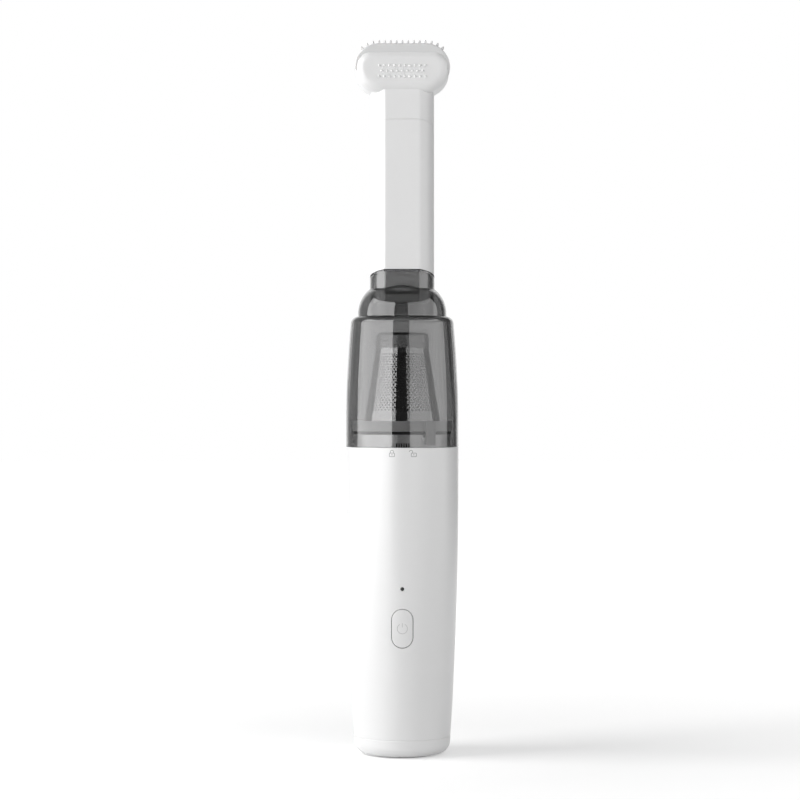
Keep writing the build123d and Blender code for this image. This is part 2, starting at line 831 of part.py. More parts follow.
# Neck ring: closes the handle's top, guards the fan and carries the locking lugs
lug_z = neck_top_z - lug_below_top - lug_height
lug_angles = [first_lug_deg + i * 360 / lug_count for i in range(lug_count)]
lug_radius = neck_radius + lug_reach
grille_radius = neck_radius - neck_wall - grille_margin
with BuildPart() as neck_ring:
    with BuildSketch(Plane.XY.offset(neck_z)):
        Circle(body_radius - shell_wall - fit)
    extrude(amount=neck_depth)
    with BuildSketch(Plane.XY.offset(handle_height)):
        Circle(neck_radius)
    extrude(amount=neck_rise)
    with BuildSketch(Plane.XY.offset(neck_z)):
        Circle(neck_radius - neck_wall)
    extrude(amount=neck_depth - grille_thickness - grille_set_down, mode=Mode.SUBTRACT)
    with BuildSketch(Plane.XY.offset(handle_height - grille_set_down)):
        Circle(neck_radius - neck_wall)
    extrude(amount=neck_rise + grille_set_down, mode=Mode.SUBTRACT)
    with BuildSketch(Plane.XY.offset(neck_z)):
        with PolarLocations((grille_hub_radius + grille_radius) / 2, grille_slot_count):
            SlotOverall(grille_radius - grille_hub_radius, grille_slot_width)
    extrude(amount=neck_depth, mode=Mode.SUBTRACT)
    for angle in lug_angles:
        with BuildSketch(Plane.XY.offset(lug_z)):
            arc_block(neck_radius - neck_wall / 2, lug_radius, angle, lug_arc_deg)
        extrude(amount=lug_height)
write(neck_ring, "neck_ring")

# Filter seal: the black ring under the filter's flange
seal_radius = neck_radius + seal_overhang
with BuildPart() as filter_seal:
    with BuildSketch(Plane.XY.offset(neck_top_z)):
        Circle(seal_radius)
        Circle(seal_radius - seal_width, mode=Mode.SUBTRACT)
    extrude(amount=seal_thickness)
write(filter_seal, "filter_seal")

# Filter frame: flange, locking hooks, cage and closed top
cage_base_radius = mesh_base_radius - mesh_thickness - fit
cage_top_radius = mesh_top_radius - mesh_thickness - fit
hook_inner = lug_radius + running
hook_outer = hook_inner + hook_wall
hook_toe_z = lug_z - running - hook_toe
flange_bore = cage_base_radius - cage_wall - core_pleat_depth - core_margin
with BuildPart() as filter_frame:
    with BuildSketch(Plane.XY.offset(flange_z)):
        Circle(flange_radius)
        Circle(flange_bore, mode=Mode.SUBTRACT)
    extrude(amount=flange_thickness)
    with BuildSketch(Plane.XZ):
        with BuildLine():
            Polyline(
                (cage_base_radius, mesh_z),
                (cage_top_radius, mesh_top_z),
                (0, mesh_top_z),
                (0, mesh_top_z - cage_wall),
                (cage_top_radius - cage_wall, mesh_top_z - cage_wall),
                (cage_base_radius - cage_wall, mesh_z),
                close=True,
            )
        make_face()
    revolve(axis=Axis.Z)
    window_height = mesh_height - 2 * cage_band
    window_chord = 2 * math.pi * cage_top_radius / cage_window_count - cage_bar_width
    for i in range(cage_window_count):
        with BuildSketch(Plane.XZ.rotated((0, 0, i * 360 / cage_window_count))):
            with Locations((0, mesh_z + cage_band + window_height / 2)):
                Rectangle(window_chord, window_height)
        extrude(amount=mesh_base_radius, mode=Mode.SUBTRACT)
    for angle in lug_angles:
        with BuildSketch(Plane.XY.offset(hook_toe_z)):
            arc_block(hook_inner, hook_outer, angle, hook_arc_deg)
        extrude(amount=mesh_z - hook_toe_z)
        with BuildSketch(Plane.XY.offset(flange_z)):
            arc_block(flange_radius - hook_root, hook_outer, angle, hook_arc_deg)
        extrude(amount=flange_thickness)
        with BuildSketch(Plane.XY.offset(hook_toe_z)):
            arc_block(neck_radius + running, hook_outer, angle, hook_arc_deg)
        extrude(amount=hook_toe)
write(filter_frame, "filter_frame")

# Filter mesh: the steel cone around the cage
with BuildPart() as filter_mesh:
    with BuildSketch(Plane.XZ):
        with BuildLine():
            Polyline(
                (mesh_base_radius, mesh_z),
                (mesh_top_radius, mesh_top_z),
                (mesh_top_radius - mesh_thickness, mesh_top_z),
                (mesh_base_radius - mesh_thickness, mesh_z),
                close=True,
            )
        make_face()
    revolve(axis=Axis.Z)
write(filter_mesh, "filter_mesh")

# Filter core: a pleated paper cone inside the cage


def pleated_outline(radius):
    """Star of pleats with its points on a radius."""
    points = []
    for i in range(2 * core_pleat_count):
        reach = radius if i % 2 == 0 else radius - core_pleat_depth
        points.append(polar(reach, 180 * i / core_pleat_count))
    with BuildLine() as outline:
        Polyline(*points, close=True)
    make_face(outline.edges())


core_base_radius = cage_base_radius - cage_wall - part_gap
core_top_radius = cage_top_radius - cage_wall - part_gap
core_bore_radius = core_top_radius - core_thickness
with BuildPart() as filter_core:
    with BuildSketch(Plane.XY.offset(mesh_z)):
        pleated_outline(core_base_radius)
    with BuildSketch(Plane.XY.offset(mesh_top_z - cage_wall)):
        pleated_outline(core_top_radius)
    loft(ruled=True)
    with BuildSketch(Plane.XY.offset(mesh_z)):
        Circle(core_bore_radius)
    extrude(amount=mesh_height - 2 * cage_wall, mode=Mode.SUBTRACT)
write(filter_core, "filter_core")

# Filter cap: a clear smoky cap over the filter's top
with BuildPart() as filter_cap:
    with BuildSketch(Plane.XY.offset(mesh_top_z)):
        Circle(filter_cap_radius)
    extrude(amount=filter_cap_height)
    fillet(filter_cap.edges().group_by(Axis.Z)[-1], filter_cap_edge)
    with BuildSketch(Plane.XY.offset(mesh_top_z)):
        Circle(filter_cap_radius - filter_cap_wall)
    extrude(amount=filter_cap_height - filter_cap_wall, mode=Mode.SUBTRACT)
write(filter_cap, "filter_cap")

# Dust cup: skirt, bin, shoulder, dome, inlet collar and inner duct in one clear moulding
cup_curve = cup_height - cup_straight
cup_gain = body_radius - cup_top_radius
cup_arc_radius = (cup_curve ** 2 + cup_gain ** 2) / (2 * cup_gain)
dome_centre_radius = dome_foot_radius - dome_arc_radius


def cup_radius(z):
    """Outer radius of the cup below its shoulder."""
    above = max(z - handle_height - cup_straight, 0.0)
    return body_radius - cup_arc_radius + math.sqrt(cup_arc_radius ** 2 - above ** 2)


def cup_outline(inset):
    """Closed half outline of the cup, or of the hollow that lies inset within it."""
    straight_z = handle_height + cup_straight
    shoulder_z = cup_shoulder_z - inset
    shoulder = cup_shoulder - inset
    arc_top_z = shoulder_z - shoulder
    run = (arc_top_z - straight_z) / side_runs
    heights = [straight_z + i * run for i in range(side_runs + 1)]
    lip_radius = dome_foot_radius - inset
    dome_radius = dome_arc_radius - inset
    slope = math.radians(45)
    with BuildLine() as outline:
        wall = Polyline(*[(cup_radius(z) - inset, z) for z in heights])
        shoulder_start = wall @ 1
        shoulder_centre = shoulder_start.X - shoulder
        shoulder_arc = ThreePointArc(
            shoulder_start,
            (shoulder_centre + shoulder * math.cos(slope), arc_top_z + shoulder * math.sin(slope)),
            (shoulder_centre, shoulder_z),
        )
        dome_arc = ThreePointArc(
            (lip_radius, dome_z),
            (dome_centre_radius + dome_radius * math.cos(slope), dome_z + dome_radius * math.sin(slope)),
            (dome_centre_radius, dome_z + dome_radius),
        )
        Polyline(shoulder_arc @ 1, (lip_radius, shoulder_z), dome_arc @ 0)
        Polyline(
            dome_arc @ 1,
            (0, dome_z + dome_radius),
            (0, handle_height),
            (body_radius - inset, handle_height),
            wall @ 0,
        )
    make_face(outline.edges())


key_gap_deg = math.degrees(part_gap / hook_outer)
key_arc_deg = math.degrees(key_width / hook_outer)
key_offset_deg = hook_arc_deg / 2 + key_gap_deg + key_arc_deg / 2
duct_bore_radius = duct_radius - duct_wall
duct_bore_flat = duct_flat - duct_wall
with BuildPart() as dust_cup:
    with BuildSketch(Plane.XZ):
        cup_outline(0)
    revolve(axis=Axis.Z)
    with BuildSketch(Plane.XY.offset(dome_z)):
        flat_sided(duct_radius, duct_flat)
    extrude(amount=rim_z - dome_z + cut_over)
    split(bisect_by=slant(rim_z, duct_flat), keep=Keep.BOTTOM)
    with BuildSketch(Plane.XZ):
        cup_outline(cup_wall)
    revolve(axis=Axis.Z, mode=Mode.SUBTRACT)
    with BuildSketch(Plane.XY.offset(duct_bottom_z)):
        flat_sided(duct_radius, duct_flat)
    extrude(amount=dome_z + dome_arc_radius - cup_wall - duct_bottom_z)
    with BuildSketch(Plane.XY.offset(duct_bottom_z)):
        flat_sided(duct_bore_radius, duct_bore_flat)
    extrude(amount=rim_z - duct_bottom_z + cut_over, mode=Mode.SUBTRACT)
    for angle in lug_angles:
        for way in (-1, 1):
            with BuildSketch(Plane.XY.offset(flange_z)):
                arc_block(
                    hook_inner,
                    body_radius - cup_wall / 2,
                    angle + way * key_offset_deg,
                    key_arc_deg,
                )
            extrude(amount=key_height)
write(dust_cup, "dust_cup")

# Extension tube: flat-sided, with slanted ends and a spigot that plugs into the collar
tube_radius = duct_radius - tube_step
tube_flat = duct_flat - tube_step
tube_bore_radius = tube_radius - tube_wall
tube_bore_flat = tube_flat - tube_wall
spigot_outer = duct_bore_radius - running
spigot_flat = duct_bore_flat - running
rim_back_z = rim_z - 2 * rim_slope * duct_flat
spigot_z = rim_back_z - spigot_below_rim
step_z = rim_z + cut_over
seal_ring_z = spigot_z + seal_ring_rise
with BuildPart() as extension_tube:
    with BuildSketch(Plane.XY.offset(rim_back_z - cut_over)):
        flat_sided(tube_radius, tube_flat)
    extrude(amount=tube_top_z - rim_back_z + 2 * cut_over)
    split(bisect_by=slant(tube_top_z, duct_flat), keep=Keep.BOTTOM)
    split(bisect_by=slant(rim_z, duct_flat), keep=Keep.TOP)
    with BuildSketch(Plane.XY.offset(spigot_z)):
        flat_sided(spigot_outer, spigot_flat)
    extrude(amount=step_z - spigot_z)
    with BuildSketch(Plane.XY.offset(step_z)):
        flat_sided(tube_bore_radius, tube_bore_flat)
    extrude(amount=tube_length + cut_over, mode=Mode.SUBTRACT)
    with BuildSketch(Plane.XY.offset(spigot_z)):
        flat_sided(spigot_outer - spigot_wall, spigot_flat - spigot_wall)
    extrude(amount=step_z - spigot_z, mode=Mode.SUBTRACT)
    with BuildSketch(Plane.XY.offset(seal_ring_z)):
        flat_sided(spigot_outer, spigot_flat)
        with BuildSketch(mode=Mode.PRIVATE) as core_section:
            flat_sided(spigot_outer - seal_ring_depth, spigot_flat - seal_ring_depth)
        add(core_section.sketch, mode=Mode.SUBTRACT)
    extrude(amount=seal_ring_width, mode=Mode.SUBTRACT)
write(extension_tube, "extension_tube")


def seal_ring(bottom_z, outer, flat):
    """Rubber ring in a spigot's groove, added to the open part."""
    with BuildSketch(Plane.XY.offset(bottom_z)) as rim:
        flat_sided(outer, flat)
    with BuildSketch(Plane.XY.offset(bottom_z)) as bore:
        flat_sided(outer - seal_ring_depth, flat - seal_ring_depth)
    extrude(to_extrude=rim.sketch, amount=seal_ring_width)
    extrude(to_extrude=bore.sketch, amount=seal_ring_width, mode=Mode.SUBTRACT)


with BuildPart() as tube_seal:
    seal_ring(seal_ring_z, spigot_outer, spigot_flat)
write(tube_seal, "tube_seal")

# Brush housing: a pill across the end of a flat-sided neck, hollow to the mouth
head_spigot_outer = tube_bore_radius - running
head_spigot_flat = tube_bore_flat - running
head_bore_radius = head_spigot_outer - spigot_wall
head_bore_flat = head_spigot_flat - spigot_wall
tube_top_back_z = tube_top_z - 2 * rim_slope * duct_flat
head_spigot_z = tube_top_back_z - head_spigot_length
head_seal_z = head_spigot_z + seal_ring_rise
housing_top_z = head_z + housing_above_centre
housing_bottom_z = head_z - head_end_radius
housing_height = housing_top_z - housing_bottom_z
chamber_bottom_z = housing_bottom_z + housing_wall + chamber_floor
chamber_half_length = housing_half_width - housing_wall - chamber_end
chamber_half_width = pad_depth / 2 - pad_skirt - chamber_side_gap


def housing_outline():
    """Front outline of the housing: flat top, rounded shoulders and a round underside."""
    corner = housing_corner
    belly = min(head_end_radius, housing_height - corner - housing_side_least)
    with BuildLine() as outline:
        FilletPolyline(
            (-housing_half_width, housing_top_z),
            (-housing_half_width, housing_bottom_z),
            (housing_half_width, housing_bottom_z),
            (housing_half_width, housing_top_z),
            radius=[corner, belly, belly, corner],
            close=True,
        )
    make_face(outline.edges())


with BuildPart() as brush_housing:
    with BuildSketch(Plane.XZ):
        housing_outline()
    extrude(amount=head_depth / 2, both=True)
    front_and_back = brush_housing.faces().filter_by(Axis.Y)
    fillet(front_and_back.edges(), head_edge)
    with BuildSketch(Plane.XY.offset(tube_top_back_z - cut_over)):
        flat_sided(tube_radius, tube_flat)
    extrude(amount=head_z - tube_top_back_z + cut_over)
    split(bisect_by=slant(tube_top_z, duct_flat), keep=Keep.TOP)
    with BuildSketch(Plane.XY.offset(head_spigot_z)):
        flat_sided(head_spigot_outer, head_spigot_flat)
    extrude(amount=tube_top_z + cut_over - head_spigot_z)
    with BuildSketch(Plane.XY.offset(head_spigot_z)):
        flat_sided(head_bore_radius, head_bore_flat)
    extrude(amount=chamber_bottom_z - head_spigot_z + cut_over, mode=Mode.SUBTRACT)
    with BuildSketch(Plane.XY.offset(chamber_bottom_z)):
        RectangleRounded(2 * chamber_half_length, 2 * chamber_half_width, chamber_corner)
    extrude(amount=housing_height, mode=Mode.SUBTRACT)
    with BuildSketch(Plane.XY.offset(head_seal_z)):
        flat_sided(head_spigot_outer, head_spigot_flat)
        with BuildSketch(mode=Mode.PRIVATE) as head_core:
            flat_sided(head_spigot_outer - seal_ring_depth, head_spigot_flat - seal_ring_depth)
        add(head_core.sketch, mode=Mode.SUBTRACT)
    extrude(amount=seal_ring_width, mode=Mode.SUBTRACT)
write(brush_housing, "brush_housing")

with BuildPart() as head_seal:
    seal_ring(head_seal_z, head_spigot_outer, head_spigot_flat)
write(head_seal, "head_seal")

# Brush pad: silicone band over the housing's top and ends, with the suction mouth
pad_half_depth = pad_depth / 2


def pad_outline(inset):
    """Front outline of the pad, or of the layer that lies inset within it."""
    with Locations((0, head_z)):
        SlotOverall(2 * (head_half_width - inset), 2 * (head_end_radius - inset))
        Rectangle(
            4 * head_half_width,
            head_end_radius + 2 * inset,
            align=(Align.CENTER, Align.MAX),
            mode=Mode.SUBTRACT,
        )


with BuildSketch(Plane.XZ) as housing_face:
    housing_outline()
with BuildSketch(Plane.XZ) as pad_face:
    pad_outline(0)
with BuildSketch(Plane.XZ) as strip_bed_face:
    pad_outline(strip_thickness)
with BuildPart() as brush_pad:
    extrude(to_extrude=strip_bed_face.sketch, amount=pad_half_depth, both=True)
    extrude(to_extrude=pad_face.sketch, amount=strip_inner, both=True)
    extrude(to_extrude=housing_face.sketch, amount=head_depth, both=True, mode=Mode.SUBTRACT)
    with BuildSketch(Plane.XY.offset(housing_top_z)):
        RectangleRounded(mouth_length, mouth_width, mouth_corner)
    extrude(amount=2 * head_end_radius, mode=Mode.SUBTRACT)
write(brush_pad, "brush_pad")


def nub_places():
    """Feet of a row's nubs along the pad's top and round its ends, as (x, z, tilt)."""
    flat_half = head_half_width - head_end_radius
    foot_radius = head_end_radius - strip_thickness / 2
    span = flat_half + head_end_radius * math.radians(nub_wrap_deg)
    count = math.floor(span / nub_pitch)
    places = []
    for i in range(-count, count + 1):
        along = i * nub_pitch
        beyond = abs(along) - flat_half
        if beyond <= 0:
            places.append((along, head_z + foot_radius, 0.0))
        else:
            turn = beyond / head_end_radius
            way = math.copysign(1, along)
            places.append(
                (
                    way * (flat_half + foot_radius * math.sin(turn)),
                    head_z + foot_radius * math.cos(turn),
                    way * math.degrees(turn),
                )
            )
    return places


for side, name in ((-1, "nub_strip_front"), (1, "nub_strip_back")):
    with BuildPart() as nub_strip:
        for face, mode in ((pad_face, Mode.ADD), (strip_bed_face, Mode.SUBTRACT)):
            extrude(to_extrude=face.sketch, amount=pad_half_depth, both=True, mode=mode)
        middle = side * (strip_inner + pad_half_depth) / 2
        with Locations((0, middle, head_z)):
            Box(
                4 * head_half_width,
                pad_half_depth - strip_inner,
                4 * head_end_radius,
                mode=Mode.INTERSECT,
            )
        extrude(to_extrude=housing_face.sketch, amount=head_depth, both=True, mode=Mode.SUBTRACT)
        nub_spots = []
        for row in range(nub_row_count):
            y = side * (strip_inner + nub_row_margin + row * nub_row_pitch)
            for x, z, tilt in nub_places():
                nub_spots.append(Location((x, y, z), (0, tilt, 0)))
        with Locations(*nub_spots):
            Box(
                nub_side,
                nub_side,
                nub_height + strip_thickness / 2,
                align=(Align.CENTER, Align.CENTER, Align.MIN),
                mode=Mode.ADD,
            )
    write(nub_strip, name)

# Front nubs: three staggered rows of low bumps on the housing's front
top_row_z = head_z + front_nub_above_centre
with BuildPart() as front_nubs:
    with BuildSketch(Plane.XZ.offset(head_depth / 2)):
        for row in range(front_nub_rows):
            columns = front_nub_columns - row % 2
            with Locations((0, top_row_z - row * front_nub_row_pitch)):
                with GridLocations(front_nub_pitch, 1, columns, 1):
                    RegularPolygon(front_nub_radius, front_nub_sides)
    extrude(amount=front_nub_height, taper=front_nub_taper_deg)
write(front_nubs, "front_nubs")
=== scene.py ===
# A slim upright hand vacuum: white handle, smoky clear dust cup over a steel filter,
# flat-sided tube and brush head. Lengths are in metres, +Z is up and the front faces -Y.
import json
import math

import bmesh
import bpy
from mathutils import Matrix, Vector

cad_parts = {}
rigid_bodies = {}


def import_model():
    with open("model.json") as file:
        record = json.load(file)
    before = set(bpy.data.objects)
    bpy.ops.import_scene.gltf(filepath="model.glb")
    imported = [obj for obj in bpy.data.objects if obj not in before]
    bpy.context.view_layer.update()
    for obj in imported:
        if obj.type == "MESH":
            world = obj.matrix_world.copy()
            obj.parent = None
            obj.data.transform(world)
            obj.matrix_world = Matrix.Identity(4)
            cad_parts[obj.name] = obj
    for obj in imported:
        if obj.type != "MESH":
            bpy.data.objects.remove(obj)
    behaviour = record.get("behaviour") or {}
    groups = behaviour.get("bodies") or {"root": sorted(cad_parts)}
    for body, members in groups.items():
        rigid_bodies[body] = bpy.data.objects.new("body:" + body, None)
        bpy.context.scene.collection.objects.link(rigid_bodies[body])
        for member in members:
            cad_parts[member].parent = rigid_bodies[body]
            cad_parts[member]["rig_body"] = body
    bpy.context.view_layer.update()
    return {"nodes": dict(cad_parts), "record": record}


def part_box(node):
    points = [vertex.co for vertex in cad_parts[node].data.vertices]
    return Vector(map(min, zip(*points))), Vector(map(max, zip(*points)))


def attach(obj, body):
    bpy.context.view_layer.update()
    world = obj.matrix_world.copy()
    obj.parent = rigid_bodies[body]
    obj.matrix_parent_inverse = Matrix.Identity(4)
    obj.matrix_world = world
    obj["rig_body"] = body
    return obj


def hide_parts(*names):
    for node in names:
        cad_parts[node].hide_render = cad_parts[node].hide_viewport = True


mm = 0.001

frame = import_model()
nodes = frame["nodes"]
scene = bpy.context.scene

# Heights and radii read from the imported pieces
shell_low, shell_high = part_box("body_shell")
seam_z, joint_z, body_radius = shell_low.z, shell_high.z, shell_high.x
base_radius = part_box("base_cap")[1].x
base_top_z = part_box("base_cap")[1].z
socket_low, socket_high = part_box("charge_socket")
button_low, button_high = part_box("power_button")
button_z = (button_low.z + button_high.z) / 2
pipe_low, pipe_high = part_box("light_pipe")
light_z = (pipe_low.z + pipe_high.z) / 2
cone_low, cone_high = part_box("filter_mesh")
mesh_z, mesh_top_z, mesh_base_radius = cone_low.z, cone_high.z, cone_high.x
rim_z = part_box("dust_cup")[1].z
tube_radius, tube_flat, tube_top_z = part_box("extension_tube")[1]
housing_low, housing_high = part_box("brush_housing")
head_half_depth, head_low_z = housing_high.y, housing_low.z
housing_half_width = housing_high.x
seat_rise = 0.9 * mm
housing_top_z = housing_high.z + seat_rise
pad_half_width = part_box("nub_strip_front")[1].x

# Handle
upright_height = 18.0 * mm
shell_wall = 2.2 * mm
rim_rounding = 0.3 * mm
base_corner = 6.3 * mm
base_draft = 0.5 * mm
base_lift = 0.5 * mm
foot_recess = 1.7 * mm
foot_inner_radius = 12.35 * mm
foot_outer_radius = 18.65 * mm
foot_bore = 12.5 * mm
foot_edge = 0.5 * mm
recess_edge = 0.2 * mm
base_wall = 2.4 * mm
base_lip_wall = 1.6 * mm
base_lip_edge = 0.3 * mm
button_width = 11.0 * mm
button_length = 20.2 * mm
button_gap = 0.28 * mm
button_edge = 0.5 * mm
button_skirt = 2.6 * mm
button_ring = 0.5 * mm
button_rings = 9
light_radius = 0.88 * mm
light_edge = 0.5 * mm
light_length = 2.9 * mm
light_flat = 2.6 * mm
light_sunk = 0.05 * mm
light_gap = 0.15 * mm
vent_count = 9
vent_pitch_deg = 11.0
vent_width = 2.0 * mm
vent_length = 13.0 * mm
vent_z = 125.0 * mm

# Marks on the handle and on the neck
mark_proud = 0.03 * mm
mark_step = 0.25 * mm
mark_sunk = 0.06 * mm
lock_line = 0.27 * mm
lock_z = 158.3 * mm
lock_half_width = 1.45 * mm
lock_height = 2.1 * mm
lock_corner = 0.4 * mm
keyhole_radius = 0.28 * mm
shackle_radius = 0.95 * mm
shackle_leg = 0.55 * mm
shackle_shift = 1.5 * mm
closed_lock_x = -5.4 * mm
open_lock_x = 6.0 * mm
power_line = 0.32 * mm
power_radius = 2.8 * mm
power_bar_low = 0.7 * mm
power_bar_high = 2.9 * mm
neck_inset = 0.5 * mm
slot_count = 6
slot_pitch = 1.25 * mm
slot_shift = 2.3
slot_half_width = 0.3 * mm
slot_corner = 0.1 * mm
slot_low = 0.25 * mm
slot_high = 2.3 * mm
slot_proud = 0.35 * mm
slot_sunk = 0.6 * mm

# Dust cup
cup_straight = 9.0 * mm
cup_wall = 2.0 * mm
cup_liner_wall = 3.4 * mm
cup_skirt_wall = 2.05 * mm
liner_foot_z = 177.4 * mm
liner_full_z = 205.0 * mm
cup_shoulder_z = 232.3 * mm
cup_shoulder = 4.0 * mm
cup_top_radius = 27.0 * mm
dome_foot_radius = 23.5 * mm
dome_z = 234.0 * mm
dome_arc_radius = 16.4 * mm
duct_radius = 17.15 * mm
duct_flat = 14.3 * mm
duct_wall = 1.8 * mm
duct_bottom_z = 233.7 * mm
rim_slope = 0.25
# Height of the dark ring on the collar's rim, partly a seal and partly painted shade of the clear
# edge
rim_ring_height = 0.55 * mm
seal_gap = 0.02 * mm
duct_lap = 0.03 * mm

# Filter
cone_sheet = 0.35 * mm
hole_radius = 0.52 * mm
hole_slack = 0.2 * hole_radius
holes_round = 60
hole_rows = 23
first_hole_z = 4.8 * mm
last_hole_z = 2.2 * mm
mesh_top_radius = 14.0 * mm
filter_cap_radius = 14.4 * mm
filter_cap_height = 8.0 * mm
filter_cap_edge = 2.4 * mm
filter_cap_wall = 1.2 * mm
filter_cap_rim = 0.2 * mm

# Tube and head
tube_wall = 1.8 * mm
tube_corner = 3.0 * mm
tube_edge = 0.3 * mm
spigot_low_z = 240.0 * mm
spigot_wall = 1.6 * mm
spigot_lap = 2.0 * mm
neck_foot_depth = 10.0 * mm
neck_foot_rise = 1.0 * mm
bore_lap = 0.1 * mm
slip_gap = 0.3 * mm
head_z = 363.1 * mm
head_end_radius = 12.85 * mm
head_edge = 5.0 * mm
housing_corner = 8.6 * mm
housing_side = 0.2 * mm
pad_half_depth = 13.7 * mm
pad_edge = 0.7 * mm
pad_tuck = 1.6 * mm
pad_toe_in = 1.2 * mm
pad_toe_drop = 1.5 * mm
mouth_half_length = 14.0 * mm
mouth_half_width = 3.2 * mm
mouth_corner = 3.1 * mm
chamber_z = 353.8 * mm
chamber_half_width = 18.7 * mm
chamber_half_depth = 10.7 * mm
chamber_corner = 4.0 * mm
nub_pitch = 3.05 * mm
nub_row_pitch = 2.0 * mm
nub_row_count = 4
nub_first_row = 5.67 * mm
nub_wrap_deg = 50.0
nub_radius = 0.58 * mm
nub_height = 1.9 * mm
nub_root = 0.4 * mm
nub_flare = 1.35 * nub_radius
bump_radius = 0.76 * mm
bump_height = 0.6 * mm
bump_pitch = 2.7 * mm
bump_row_pitch = 2.9 * mm
bump_columns = 10
bump_rows = 3
bump_top_row = 0.9 * mm
bump_foot = 0.05 * mm

# Small distances at which vertices merge, or count as one place or one level
weld = 1e-7
touch = 1e-6
level = 1e-9

# Turns from which an edge is rounded
sharp_turn = math.radians(50)
edge_turn = math.radians(35)

# Shapes that cut run this far past what they cut
past = 2.0 * mm
far_past = 5.0 * mm
front_cut = (-40 * mm, -10 * mm)
back_cut = (10 * mm, 40 * mm)
spin_steps = 128

# Stage
card_distance = 1.6
card_low, card_high = -0.9, 1.5
card_steps = 24
floor_size = 6.0
ambient = 0.36
aim_point = Vector((0, 0, 0.18))
camera_place = (-1.2 * mm, -1.278, 187.9 * mm)


# Shared effects of the finishes

def feed(tree, node, **values):
    """Sets a node's inputs by name to plain values, or links them to other nodes' outputs."""
    for label, value in values.items():
        socket = node.inputs[label.replace("_", " ")]
        if isinstance(value, bpy.types.NodeSocket):
            tree.links.new(value, socket)
        else:
            socket.default_value = value


def new_node(tree, kind, **values):
    """Shader node with some of its inputs fed by name."""
    node = tree.nodes.new(kind)
    feed(tree, node, **values)
    return node


def effect_group(name, outputs, **inputs):
    """Empty shader node group over a place, with its named sockets, and its two end nodes."""
    tree = bpy.data.node_groups.new(name, "ShaderNodeTree")
    tree.interface.new_socket("Place", in_out="INPUT", socket_type="NodeSocketVector")
    for label, value in inputs.items():
        kind = "NodeSocketColor" if isinstance(value, tuple) else "NodeSocketFloat"
        label = label.replace("_", " ")
        tree.interface.new_socket(label, in_out="INPUT", socket_type=kind).default_value = value
    for label in outputs:
        kind = "NodeSocketColor" if label == "Color" else "NodeSocketFloat"
        tree.interface.new_socket(label, in_out="OUTPUT", socket_type=kind)
    return tree, tree.nodes.new("NodeGroupInput").outputs, tree.nodes.new("NodeGroupOutput")


def noise(tree, place, scale, detail):
    """Values of a noise texture over a place socket."""
    texture = new_node(tree, "ShaderNodeTexNoise", Scale=scale, Detail=detail, Vector=place)
    return texture.outputs["Fac"]


def blend_math(tree, operation, first, second, clamp=False):
    """Result of a math node whose inputs are sockets or plain numbers."""
    node = tree.nodes.new("ShaderNodeMath")
    node.operation = operation
    node.use_clamp = clamp
    for i, value in enumerate((first, second)):
        if isinstance(value, float):
            node.inputs[i].default_value = value
        else:
            tree.links.new(value, node.inputs[i])
    return node.outputs[0]


def tint_mix(tree, factor, first, second):
    """Colour mix by a factor socket, of sockets or plain colours."""
    node = tree.nodes.new("ShaderNodeMix")
    node.data_type = "RGBA"
    tree.links.new(factor, node.inputs["Factor"])
    for socket, value in zip([s for s in node.inputs if s.type == "RGBA"], (first, second)):
        if isinstance(value, tuple):
            socket.default_value = value
        else:
            tree.links.new(value, socket)
    return [s for s in node.outputs if s.type == "RGBA"][0]


def make_moulding_effect():
    """Faint clouds of moulded plastic, its fine grain and the sheen that handling leaves."""
    tree, start, end = effect_group(
        "moulded_skin", ("Color", "Roughness", "Height"),
        Color=(1, 1, 1, 1), Cloudiness=0.03, Roughness=0.35, Handling=0.06, Grain_Scale=2500.0,
    )
    place = start["Place"]
    cloud_depth = blend_math(tree, "SUBTRACT", noise(tree, place, 45.0, 4.0), 0.5)
    cloud_value = blend_math(tree, "MULTIPLY", cloud_depth, start["Cloudiness"])
    darker = new_node(
        tree, "ShaderNodeHueSaturation", Saturation=1.0, Color=start["Color"],
        Value=blend_math(tree, "ADD", cloud_value, 1.0),
    )
    smear_depth = blend_math(tree, "SUBTRACT", noise(tree, place, 90.0, 5.0), 0.5)
    smear_value = blend_math(tree, "MULTIPLY", smear_depth, start["Handling"])
    feed(
        tree, end, Color=darker.outputs["Color"],
        Roughness=blend_math(tree, "ADD", start["Roughness"], smear_value, clamp=True),
        Height=noise(tree, place, start["Grain Scale"], 2.0),
    )
    return tree


def make_smudge_effect():
    """Soft smudges and fine dust on clear plastic and polished metal."""
    tree, start, end = effect_group(
        "smudges", ("Roughness", "Mask"), Clean=0.02, Smudged=0.10, Cover=0.55,
    )
    patches = noise(tree, start["Place"], 60.0, 4.0)
    edge = blend_math(tree, "SUBTRACT", patches, start["Cover"])
    mask = blend_math(tree, "MULTIPLY", edge, 5.0, clamp=True)
    spread = blend_math(tree, "SUBTRACT", start["Smudged"], start["Clean"])
    rough = blend_math(tree, "MULTIPLY", spread, mask)
    feed(tree, end, Mask=mask, Roughness=blend_math(tree, "ADD", rough, start["Clean"]))
    return tree


def make_cell_effect():
    """Open cells of foam, or the fibres of paper when it is drawn out along Z."""
    tree, start, end = effect_group(
        "cells", ("Color", "Height"),
        Scale=1500.0, Light=(0.1, 0.1, 0.1, 1), Dark=(0.01, 0.01, 0.01, 1),
    )
    pattern = new_node(
        tree, "ShaderNodeTexVoronoi", Vector=start["Place"], Scale=start["Scale"],
    )
    depth = pattern.outputs["Distance"]
    feed(tree, end, Color=tint_mix(tree, depth, start["Dark"], start["Light"]), Height=depth)
    return tree


moulded_skin = make_moulding_effect()
smudges = make_smudge_effect()
cells = make_cell_effect()


# Finishes

finish = {}
skin_cloudiness = 0.012
skin_handling = 0.02
skin_grain = 2500.0
plastic_ior = 1.46
clear_ior = 1.5


